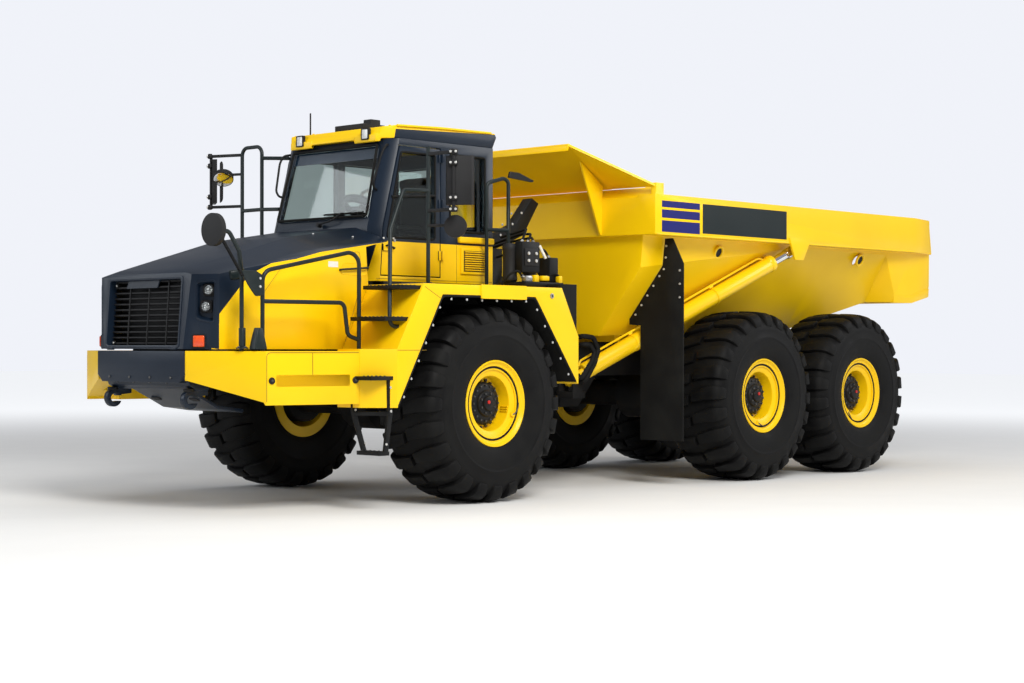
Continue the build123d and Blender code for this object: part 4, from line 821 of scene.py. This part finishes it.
# wiper: pivot, arm and blade on the screen
cabPieces += [turnedRound(screenPoint(0.02, -0.075, 0.065), (0.966, 0, 0.259), 0.022, 0.05, 20, 0.004, plasticBlack),
              tube([screenPoint(0.02, -0.075, 0.085), screenPoint(0.2, -0.045, 0.082), screenPoint(0.3, 0.045, 0.05)],
                   0.008, plasticBlack, 0.04),
              roundedBox(screenPoint(0.3, 0.04, 0.03), (0.016, 0.56, 0.018), 0.004, rubberBlack)]
# yellow ledge, louvred vent, seams drawn as lines of painted shade and a grab loop on each side
slat = roundedBox((0, 0, 0), (0.3, 0.016, 0.011), 0.003, yellowPaint, (0.5, 0, 0))
for side in (1, -1):
    cabPieces += [roundedBox(at(-0.66, side * 0.792, 2.512), (0.5, 0.05, 0.062), 0.014, yellowPaint),
                  roundedBox(at(-0.64, side * 0.786, 2.305), (0.385, 0.022, 0.262), 0.008, yellowPaint),
                  roundedBox(at(-0.64, side * 0.7975, 2.305), (0.315, 0.006, 0.205), 0.002, plasticBlack),
                  seamLine([at(-0.395, side * sillFace, 2.09), at(-0.395, side * sillFace, 2.46)]),
                  seamLine([at(0.7, side * sillFace, 2.105), at(-0.91, side * sillFace, 2.105)]),
                  tube([onSide(side, *point) for point in pillarLoop], 0.011, blackPaint, 0.05)]
    for step in range(9):
        place = Matrix.Translation(at(-0.64, side * 0.803, 2.216 + step * 0.0223))
        cabPieces.append(turned(slat, place @ sideTurn(side)))
discard(slat)
standIn("cab_shell", cabPieces)

standIn("cab_door", [
    twoTone("cab_door", 0.003), seal([at(x, sillFace, z) for x, z in doorWindow]),
    tube([at(0.5, 0.783, 2.885), at(-0.085, 0.783, 2.925)], 0.014, blackPaint),
    tube([at(0.585, 0.795, 2.415), at(0.585, 0.82, 2.42), at(0.49, 0.82, 2.395), at(0.49, 0.795, 2.39)], 0.009,
         plasticBlack, 0.015),
    turnedRound(at(0.46, 0.782, 2.47), (0, 1, 0), 0.016, 0.012, 24, 0.003, steelGrey),
    *scatter(bolt, [(at(0.61, 0.782, 2.487), (0, 1, 0)), (at(0.48, 0.782, 2.491), (0, 1, 0))], boltWhite)])

# roof with a drip rail, and work lights set into the visor
eaves = ((at(0, 0, 3.555), Vector((0.035, 0, 1))), (at(0.4, 0, 3.5), Vector((1, 0, 0.2))))
roofPanel = softCopy("cab_roof", 0.022, yellowPaint, navyPaint, segments=3)
cutFaces(roofPanel, lambda middle, normal: abs(middle.y) > 0.55, *eaves)
colourFaces(roofPanel, lambda middle, normal: abs(middle.y) > 0.55 and abs(normal.y) > 0.6 and normal.x < 0.75
            and all((middle - point).dot(away) < 0 for point, away in eaves), 1)
roofPieces = [roofPanel]
lightHousing = ((0.052, -0.02), (0.052, 0.012), (0.047, 0.016), (0.041, 0.014), (0.036, -0.012))
for side in (1, -1):
    centre = at(0.546, side * 0.47, 3.498)
    for name, layers, radius, finish, smoothing in (
            ("workLight", lightHousing, 0.012, plasticBlack, 35),
            ("workLens", ((0.042, 0.004), (0.042, 0.01), (0.034, 0.014)), 0.008, lampWhite, 50)):
        loops = [(roundedLoop(oblong(half, half + 0.004), radius), out) for half, out in layers]
        roofPieces.append(layered(name, loops, centre, (0, 1, 0), upward, finish, smoothing))
    roofPieces.append(tube([at(0.38, side * 0.735, 3.575), at(-0.2, side * 0.758, 3.592),
                            at(-0.9, side * 0.77, 3.598)], 0.012, yellowPaint, 0.05))
    roofPieces += scatter(bolt, [(at(x, side * 0.55, 3.592), upward) for x in (0.3, -0.25, -0.8)], yellowPaint)
standIn("cab_roof", roofPieces)

# steering wheel, hub and dials over the dashboard
lean = math.radians(28)
wheelAxis = Vector((-math.sin(lean), 0, math.cos(lean)))
wheelCentre = at(0.33, 0.12, 2.64) + wheelAxis * 0.205


def aboutWheel(radius, angle, height):
    return (radius * math.cos(angle), radius * math.sin(angle), height)


wheelParts = [tube([aboutWheel(0.205, math.tau * step / 40, 0.02) for step in range(40)], 0.014, closed=True),
              turnedRound((0, 0, 0.012), upward, 0.052, 0.03, 32, 0.008)]
for angle in (0.4, 2.74, 4.71):
    wheelParts.append(tube([aboutWheel(0.03, angle, 0.0), aboutWheel(0.12, angle, 0.008),
                            aboutWheel(0.198, angle, 0.02)], 0.011, bend=0.03))
dashPieces = [softCopy("dashboard", 0.012, plasticBlack)]
for part in wheelParts:
    dashPieces.append(faced(paint(part, plasticBlack), wheelCentre, wheelAxis, upward))
    discard(part)
dashPieces += [turnedRound(at(0.415, y, 2.712), (-0.5, 0, 0.86), 0.036, 0.02, 28, 0.004, steelGrey)
               for y in (0.02, 0.12, 0.22)]
standIn("dashboard", dashPieces)

# seats: stuffed cushions blown up from boxes, on moulded bases
cushions = {                    # middle, size
    "seatCushion": ((-0.25, 0.12, 2.475), (0.5, 0.52, 0.15)),
    "seatBack": ((-0.535, 0.12, 2.85), (0.14, 0.5, 0.62)),
    "spareCushion": ((-0.5, -0.42, 2.47), (0.38, 0.39, 0.11)),
    "spareBack": ((-0.665, -0.42, 2.76), (0.11, 0.38, 0.44)),
}
stuffing = {"voxel": 0.01, "pressure": 4, "frames": 12, "farthest": 0.022}
for name, (place, size) in cushions.items():
    pad = roundedBox(at(*place), size, 0.03, segments=3)
    applyModifier(pad, "REMESH", mode="VOXEL", voxel_size=stuffing["voxel"])
    cloth = pad.modifiers.new("fill", "CLOTH")
    cloth.settings.use_pressure = True
    cloth.settings.uniform_pressure_force = stuffing["pressure"]
    cloth.settings.effector_weights.gravity = 0
    cloth.point_cache.frame_start, cloth.point_cache.frame_end = 1, stuffing["frames"]
    before = [corner.co.copy() for corner in pad.data.vertices]
    for frameNumber in range(1, stuffing["frames"] + 1):
        scene.frame_set(frameNumber)
    activate(pad)
    bpy.ops.object.modifier_apply(modifier="fill")
    for corner, start in zip(pad.data.vertices, before):
        moved = corner.co - start
        if moved.length > stuffing["farthest"]:
            corner.co = start + moved * (stuffing["farthest"] / moved.length)
    # piped seam round the cushion's middle
    wide, tall = (1, 2) if "Back" in name else (0, 1)
    points = []
    for point in roundedLoop(oblong(size[wide] / 2, size[tall] / 2), 0.05):
        spot = at(*place)
        spot[wide] += point.x * 1.005
        spot[tall] += point.y * 1.005
        points.append(spot)
    piping = tube(points, 0.005, rubberBlack, closed=True, resolution=2)
    whole = joinAs(name, [dress(pad, seatCloth, 80), piping])
    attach(whole, bodyOf("cab_seats"))
scene.frame_set(1)
seatFrames = [((-0.62, 0.12, 2.8), (0.04, 0.36, 0.6), 0.012), ((-0.05, 0.44, 2.62), (0.34, 0.07, 0.06), 0.02)]
for x, y, width in ((-0.25, 0.12, 0.4), (-0.5, -0.42, 0.3)):
    seatFrames += [((x, y, 2.385), (width, width, 0.05), 0.012), ((x, y, 2.25), (0.26, 0.26, 0.23), 0.03)]
    seatFrames += [((x, y, 2.18 + step * 0.05), (0.3, 0.3, 0.022), 0.009) for step in range(4)]
finishPiece(joinAs("seatFrames", [roundedBox(at(*place), size, bevel, plasticBlack)
                                  for place, size, bevel in seatFrames]),
            bodyOf("cab_seats"), "black_plastic", "cab_seats")
print("cab ready")

# bumper, side boxes, fenders and steps
bumperPieces = [softCopy("front_bumper", 0.016, navyPaint, segments=3)]
for y in (-0.45, -0.15, 0.15, 0.45):
    bumperPieces += scatter(bolt, [(at(2.868, y, 1.185), (1, 0, 0)), (at(2.845, y * 0.8, 1.142), (0, 0, -1))],
                            steelDark)
panLoop = roundedLoop(oblong(0.06, 0.03), 0.03)
panLayers = [(panLoop, -0.002), (panLoop, 0.004), ([point * 0.8 for point in panLoop], 0.005)]
for side in (1, -1):
    bumperPieces += [turnedRound(at(2.752, side * 0.56, 1.075), upward, 0.05, 0.03, 24, 0.006, plasticBlack),
                     layered("panSlot", panLayers, at(2.47, side * 0.28, 0.982), (0, 1, 0), (-0.9, 0, -0.44),
                             plasticBlack)]
standIn("front_bumper", bumperPieces)

boxPieces = [softCopy("side_boxes", 0.018, yellowPaint, segments=3)]
for side in (1, -1):
    along = mirrored(Vector((-0.92, 0.19, 0)).normalized(), side)
    out = mirrored(Vector((0.19, 0.92, 0)).normalized(), side)

    def onBox(distance, z, lift=0.0):
        return at(2.51, side * 1.31, z) + along * distance + out * lift

    panel = [(-side * 0.1, 1.115), (-side * 0.84, 1.115), (-side * 0.84, 1.215), (-side * 0.1, 1.215)][::-side]
    boxPieces.append(plate("boxPanel", panel, onBox(0, 0), along * -side, upward, 0.004, yellowPaint, 0.012, 0.002))
    for distance in (0.055, 0.895):
        boxPieces += [turnedRound(onBox(distance, 1.166, 0.004), out, 0.03, 0.02, 28, 0.006, plasticBlack),
                      turnedRound(onBox(distance, 1.166, 0.015), out, 0.012, 0.012, 6, 0.002, steelDark)]
    # lid and corner seams, drawn as lines of painted shade
    for seam in (((0.006, 0.985), (0.006, 1.385), (0.03, 1.408), (0.93, 1.408)), ((0.46, 1.215), (0.46, 1.404))):
        boxPieces.append(seamLine([onBox(*spot, 0.002) for spot in seam], 0.003, 0.03))
standIn("side_boxes", boxPieces)

fenderPieces = [softCopy("front_fenders", 0.016, yellowPaint, segments=3)]
linerPieces = [softCopy("fender_liners", 0.003, rubberBlack)]
archEdge = [Vector(point) for point in ((1.33, 0.935), (0.768, 1.925), (-0.494, 1.925), (-1.092, 1.125))]
boltGap = 0.2                  # about this far between the arch bolts
for side in (1, -1):
    band = [(-side * 0.27, 1.905), (side * 0.36, 1.905), (side * 0.36, 2.036), (-side * 0.27, 2.036)][::side]
    fenderPieces += [plate("fenderBand", band, at(0, side * 1.725, 0), (-side, 0, 0), upward, 0.016, yellowPaint, 0.012,
                           0.006),
                     turnedRound(at(-0.73, side * 1.728, 1.95), (0, side, 0), 0.026, 0.014, 28, 0.004, steelGrey),
                     roundedBox(at(-0.73, side * 1.737, 1.95), (0.006, 0.006, 0.022), 0.001, plasticBlack)]
    # fender seams, drawn as lines of painted shade
    for seam in (((-0.3, 2.03), (-0.3, 1.905)), ((1.0, 2.0), (0.8, 1.9)), ((1.345, 1.43), (0.98, 1.43))):
        fenderPieces.append(seamLine([at(x, side * 1.7255, z) for x, z in seam], 0.0025))
    for first, last in zip(archEdge, archEdge[1:]):
        count = max(2, round((last - first).length / boltGap))
        for step in range(count):
            spot = first.lerp(last, (step + 0.5) / count)
            spot += (Vector((0, 0.93)) - spot).normalized() * 0.035
            linerPieces += scatter(bolt, [(at(spot.x, side * 1.704, spot.y), (0, side, 0))], boltWhite)
    # rolled trim along the arch
    linerPieces.append(tube([at(x, side * 1.718, z) for x, z in archEdge], 0.012, rubberBlack, 0.05))
standIn("front_fenders", fenderPieces)
standIn("fender_liners", linerPieces)

stud = turnedRound((0, 0, 0.003), upward, 0.009, 0.006, 8, 0.002)
studPlaces = [at(1.49 - row * 0.055, 1.42 + column * 0.055, 0.536) for row in range(2) for column in range(5)]
for x, inner, outer, top in ((1.64, 1.53, 1.7, 1.2), (1.47, 1.27, 1.7, 1.725), (1.29, 1.25, 1.7, 2.01)):
    studPlaces += [at(x - 0.045 - row * 0.052, inner + 0.03 + column * 0.05, top)
                   for row in range(5) for column in range(int((outer - inner) / 0.05))]
stepBolts = ((1.575, 1.412, 1.1), (1.562, 1.412, 0.9), (1.39, 1.682, 1.1), (1.385, 1.682, 0.89), (1.44, 1.682, 0.6),
             (1.44, 1.412, 0.6))
standIn("access_steps", [softCopy("access_steps", 0.004, blackPaint),
                         *scatter(stud, [(place, upward) for place in studPlaces], steelDark),
                         *scatter(bolt, [(at(*place), (0, 1, 0)) for place in stepBolts], boltWhite)])

# rails: the gusset plate with its rods, a flared foot, a sleeve, and flanges where posts stand
footLoops = [(roundedLoop(oblong(w, d), 0.012), height) for w, d, height in
             ((0.066, 0.045, 0.0), (0.066, 0.045, 0.012), (0.05, 0.036, 0.1), (0.028, 0.028, 0.18),
              (0.026, 0.026, 0.185))]
railPieces = [softCopy("handrails", 0, greyRail, smoothing=45),
              plate("gusset", [(-2.69, 2.11), (-2.62, 1.99), (-2.53, 1.89), (-2.45, 1.9), (-2.43, 2.06), (-2.53, 2.11)],
                    at(0, 1.19, 0), (-1, 0, 0), upward, 0.016, greyRail, 0.02, 0.003),
              layered("railFoot", footLoops, at(2.505, 1.2, 1.436), (1, 0, 0), (0, 1, 0), greyRail, 35),
              turnedRound(at(2.6, 1.1, 1.53), upward, 0.03, 0.18, 28, 0.004, greyRail, 35),
              *scatter(bolt, [(at(2.49, 1.206, z), (0, 1, 0)) for z in (2.045, 1.975)], boltWhite)]
for y in (1.172, 1.148):
    railPieces.append(tube([at(2.66, y + 0.02, 2.06), at(2.76, y, 2.22), at(2.9, y - 0.01, 2.42)], 0.008, blackPaint,
                           0.04))
for x, y, z in ((2.6, 1.1, 1.44), (0.57, 1.34, 2.036), (0.57, -1.34, 2.036)):
    railPieces.append(turnedRound(at(x, y, z + 0.006), upward, 0.055, 0.012, 28, 0.003, greyRail))
    railPieces += scatter(bolt, [(at(x + dx, y + dy, z + 0.012), upward)
                                 for dx, dy in ((0.038, 0), (-0.038, 0), (0, 0.038), (0, -0.038))], steelDark)
standIn("handrails", railPieces)

# mirrors: a silver face in a thin rim toward the driver, a back shell swelling round the rod, clamps
mirrorPieces = [softCopy("mirrors", 0.01, plasticBlack, segments=3, smoothing=50)]
mirrorPlan = {"height": 0.45, "out": (-0.574, 0.819, 0), "front": (0.819, 0.574, 0), "face": (0.117, 0.21),
              "shell": (0.12, 0.213)}
clamp = roundedBox((0, 0, 0), (0.075, 0.045, 0.05), 0.01, plasticBlack, smoothing=50)


def mirrorLayers(half, radius, layers):
    return [(roundedLoop(oblong(half[0] * share, half[1] * share), radius), out) for share, out in layers]


faceLayers = mirrorLayers(mirrorPlan["face"], 0.02, ((1, -0.001), (1, 0.003), (0.95, 0.005)))
shellLayers = mirrorLayers(mirrorPlan["shell"], 0.03, ((0.98, 0.044), (0.96, 0.056), (0.86, 0.064), (0.5, 0.068)))
for side, x, y, low in ((1, 0.47, 1.65, 2.76), (-1, 0.62, 1.7, 2.94)):
    outward, ahead = mirrored(mirrorPlan["out"], side), mirrored(mirrorPlan["front"], side)
    middle = at(x, side * y, low + mirrorPlan["height"] / 2)
    mirrorPieces += [layered("mirrorGlass", faceLayers, middle, outward * side, upward, mirrorSilver),
                     layered("mirrorBack", shellLayers, middle, outward * -side, upward, plasticBlack, 50)]
    for lift in (-0.16, 0.16, -0.266, 0.26):
        spot = middle - outward * 0.05 + ahead * 0.056 + upward * lift
        mirrorPieces.append(faced(clamp, spot + ahead * 0.012, ahead))
        mirrorPieces += scatter(bolt, [(spot + ahead * 0.036 + outward * step, ahead) for step in (-0.024, 0.024)],
                                boltWhite)
# round mirrors: a silver disc in front of each housing
lookDown = Vector((0.42, 0.5, -0.75))
for place, facing, radius in ((at(2.939, 1.16, 2.445), (-1, 0, 0), 0.132),
                              (at(0.64, -1.56, 3.215) + lookDown.normalized() * 0.045, lookDown, 0.098)):
    disc = spun("mirrorDisc", [(0.0, 0.01), (radius * 0.6, 0.008), (radius * 0.95, 0.003), (radius, 0.0),
                               (radius * 0.98, -0.003), (0.0, -0.003)], 48, mirrorSilver, smoothing=60)
    mirrorPieces.append(faced(disc, place, facing))
    discard(disc)
discard(clamp)
standIn("mirrors", mirrorPieces)
print("front details ready")

# deck behind the cab: valve block, filters, boxes, lamp, pipes, leaning duct and post fin
deckPieces = [softCopy("rear_deck", 0.006, blackPaint)]
deckParts = [                   # middle, size, bevel, finish
    ((-0.84, 1.36, 2.066), (0.56, 0.36, 0.05), 0.008, blackPaint),
    ((-0.72, 1.42, 2.33), (0.26, 0.1, 0.3), 0.012, blackPaint),
    ((-0.72, 1.475, 2.33), (0.2, 0.016, 0.17), 0.006, plasticBlack),
    ((-1.035, 1.42, 2.215), (0.13, 0.14, 0.24), 0.01, blackPaint),
    ((-0.8, 1.44, 2.125), (0.07, 0.07, 0.07), 0.012, yellowPaint),
    ((-0.93, 1.46, 2.13), (0.12, 0.05, 0.05), 0.01, yellowPaint),
    ((-0.66, 1.47, 2.12), (0.1, 0.06, 0.06), 0.01, steelGrey),
    ((-1.075, 1.52, 2.12), (0.05, 0.05, 0.07), 0.008, yellowPaint),
]
deckPieces += [roundedBox(at(*place), size, bevel, finish, smoothing=35) for place, size, bevel, finish in deckParts]
filterProfile = [(0.0, 0.0), (0.06, 0.004), (0.072, 0.016), (0.074, 0.04), (0.07, 0.05), (0.07, 0.3),
                 (0.074, 0.31), (0.074, 0.35), (0.06, 0.372), (0.0, 0.38)]
canister = spun("canister", filterProfile, 36, plasticBlack, smoothing=40)
deckPieces += [faced(canister, at(-0.6, 1.3, 2.09), upward), faced(canister, at(-1.0, 1.2, 2.06), upward)]
discard(canister)
deckPieces += [turnedRound(at(-0.885, 1.47, 2.385), (-0.6, 0, -0.8), 0.015, 0.15, 20, 0.004, labelWhite),
               turnedRound(at(-1.085, 1.46, 2.13), (0, 0.3, 1), 0.03, 0.06, 28, 0.01, signalRed, 50),
               plate("postFin", [(-0.1, -0.02), (0.24, -0.045), (0.27, -0.03), (0.05, 0.035), (-0.08, 0.04)],
                     at(-0.62, 1.34, 3.115), (-1, 0, 0), upward, 0.02, blackPaint, 0.01, 0.004)]
deckPieces += scatter(largeBolt, [(at(-0.72 + dx, 1.483, 2.33 + dz), (0, 1, 0)) for dx in (-0.055, 0.055)
                                  for dz in (-0.035, 0.035)], boltWhite)
deckPieces += scatter(bolt, [(at(x, 0.56 + side * 0.066, z), (0, side, 0)) for side in (1, -1)
                             for z, x in ((2.6, -1.2), (2.72, -1.38), (2.84, -1.52))], boltWhite)
pipeRuns = [
    [(-0.62, 1.44, 2.48), (-0.7, 1.42, 2.6), (-0.95, 1.2, 2.62), (-1.02, 0.8, 2.56)],
    [(-0.7, 1.44, 2.48), (-0.8, 1.4, 2.56), (-1.0, 1.1, 2.58), (-1.03, 0.7, 2.5)],
    [(-0.78, 1.44, 2.48), (-0.86, 1.36, 2.53), (-1.02, 1.0, 2.52), (-1.03, 0.6, 2.45)],
    [(-0.95, 1.46, 2.14), (-1.02, 1.5, 2.18), (-1.07, 1.52, 2.155)],
    [(-0.6, 1.46, 2.14), (-0.52, 1.48, 2.2), (-0.44, 1.44, 2.16), (-0.42, 1.36, 2.06)],
    [(-1.035, 1.42, 2.34), (-1.04, 1.36, 2.42), (-1.04, 1.1, 2.44), (-1.03, 0.72, 2.36)],
]
for run in pipeRuns:
    deckPieces += [tube([at(*point) for point in run], 0.012, rubberBlack, 0.07),
                   turnedRound(at(*run[0]), Vector(run[1]) - Vector(run[0]), 0.018, 0.03, 6, 0.003, steelGrey)]
standIn("rear_deck", deckPieces)

# dump body: stripes, dark blank panel, flange and eye rims
bodyPieces = [softCopy("dump_box", 0.01, yellowPaint)]
decals = [                      # stations of both ends, heights of both edges, finish
    (-2.53, -3.18, 2.905, 2.972, decalBlue), (-2.53, -3.18, 2.795, 2.88, decalBlue),
    (-2.53, -3.18, 2.65, 2.768, decalBlue), (-3.23, -4.79, 2.66, 2.972, decalDark),
]
eyeRing = spun("eyeRing", [(0.052, 0.0), (0.08, 0.0), (0.082, 0.01), (0.076, 0.02), (0.06, 0.022), (0.052, 0.016)],
               40, yellowPaint, smoothing=40)
eyeCore = spun("eyeCore", [(0.0, 0.006), (0.05, 0.006), (0.052, 0.002), (0.052, -0.01), (0.0, -0.012)], 32,
               plasticBlack)
for side in (1, -1):
    for front, back, low, high, finish in decals:
        corners = [(-side * front, low), (-side * back, low), (-side * back, high), (-side * front, high)][::side]
        bodyPieces.append(plate("decal", corners, at(0, side * 1.6602, 0), (-side, 0, 0), upward, 0.0015, finish, 0.004,
                                0.0005, 0))
    # rolled flange under the rail
    bodyPieces.append(tube([at(x, side * y, 2.628) for x, y in ((-2.45, 1.652), (-7.52, 1.652), (-8.17, 1.508))], 0.013,
                           yellowPaint, 0.05))
    for x, y, z in ((-3.82, 1.432, 2.49), (-6.61, 1.462, 2.5)):
        bodyPieces += [faced(model, onSide(side, x, y, z), (0, side, -0.38)) for model in (eyeRing, eyeCore)]
discard(eyeRing, eyeCore)
standIn("dump_box", bodyPieces)

# mudflap bolts down the slanted front edge and across the top
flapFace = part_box("body_mudflaps")[1].x + 0.001
flapBolts = [(1.026 + 0.44 * share, 1.738 + 0.558 * share) for share in (0.12, 0.3, 0.48, 0.66, 0.84, 0.97)]
flapBolts += [(1.478, 2.4), (1.484, 2.52), (1.66, 2.26), (1.66, 2.12), (1.66, 1.98)]
standIn("body_mudflaps", [softCopy("body_mudflaps", 0.004, rubberBlack),
                          *scatter(bolt, [((flapFace, side * y, z), (1, 0, 0)) for side in (1, -1)
                                          for y, z in flapBolts], boltWhite)])
print("dump body ready")

# cylinders: glands, feed pipes and their straps on saddles
cylinders = {                   # foot, eye, pipe radius, finish
    "hoist": ((-2.07, 0.82, 1.12), (-5.0, 1.56, 2.53), 0.012, hoistPaint),
    "steering": ((-0.52, 0.65, 1.18), (-1.59, 0.35, 1.18), 0.007, framePaint),
}
for kind, (foot, eye, pipeRadius, finish) in cylinders.items():
    saddle = roundedBox((0, 0, 0), (0.034, 0.05, 0.03), 0.005, finish)
    for sideName, side in (("left", 1), ("right", -1)):
        node, rodNode = f"{sideName}_{kind}_barrel", f"{sideName}_{kind}_rod"
        start = onSide(side, *foot)
        run = (onSide(side, *eye) - start).normalized()
        lift = (upward - run * run.z).normalized()
        barrel = frame["nodes"][node]
        offsets = [barrel.matrix_world @ corner.co - start for corner in barrel.data.vertices]
        reach = max(offset.dot(run) for offset in offsets)
        radius = max((offset - run * offset.dot(run)).length for offset in offsets if offset.dot(run) > reach * 0.5)
        gland = spun("gland", [(radius * 0.55, -0.01), (radius + 0.002, -0.01), (radius + 0.008, 0.002),
                               (radius + 0.008, 0.045), (radius + 0.002, 0.056), (radius * 0.8, 0.058),
                               (radius * 0.76, 0.05), (radius * 0.55, 0.05)], 40, finish, smoothing=40)
        strap = spun("strap", [(radius - 0.001, -0.012), (radius + 0.007, -0.012), (radius + 0.007, 0.012),
                               (radius - 0.001, 0.012)], 40, finish, smoothing=0)
        line = [start + run * along + lift * out for along, out in
                ((0.16, radius * 0.9), (0.2, radius + 0.035), (reach - 0.16, radius + 0.035),
                 (reach - 0.1, radius * 0.9))]
        pieces = [softCopy(node, 0.004, finish), faced(gland, start + run * (reach - 0.055), run),
                  tube(line, pipeRadius, finish, 0.04)]
        for share in (0.3, 0.7):
            spot = start + run * reach * share
            pieces += [faced(strap, spot, run), faced(saddle, spot + lift * (radius + 0.022), run)]
        discard(gland, strap)
        standIn(node, pieces)
        standIn(rodNode, [softCopy(rodNode, 0.002, chromeRod)], rodNode + "_panel")
    discard(saddle)

# everything else from the CAD with softened edges
softPanels = {                  # edge width and finish
    "front_chassis": (0.004, framePaint), "rear_chassis": (0.004, framePaint), "hitch": (0.005, framePaint),
    "front_axle": (0.006, framePaint), "center_axle": (0.006, framePaint), "rear_axle": (0.006, framePaint),
    "equalizer_beams": (0.006, framePaint), "roof_unit": (0.008, plasticBlack), "hydraulic_hoses": (0, rubberBlack),
    "hoist_hoses": (0, rubberBlack), "engine_block": (0.01, engineGrey),
}
for node, (width, finish) in softPanels.items():
    standIn(node, [softCopy(node, width, finish)], node + "_panel")
print("panels ready")

finishes = {
    "yellow_paint": yellowPaint, "hoist_yellow": hoistPaint, "rim_yellow": yellowPaint, "frame_paint": framePaint,
    "dark_trim": blackPaint, "grey_rail": greyRail, "black_plastic": plasticBlack, "black_rubber": rubberBlack,
    "tyre_rubber": tyreRubber, "window_glass": windowGlass, "lamp_glass": steelGrey, "seat_fabric": seatCloth,
    "engine_grey": engineGrey, "rod_chrome": chromeRod,
}
for node, obj in frame["nodes"].items():
    paint(obj, finishes[slotOf[node]])

discard(lampModel, smallBolt, bolt, stud, largeBolt)
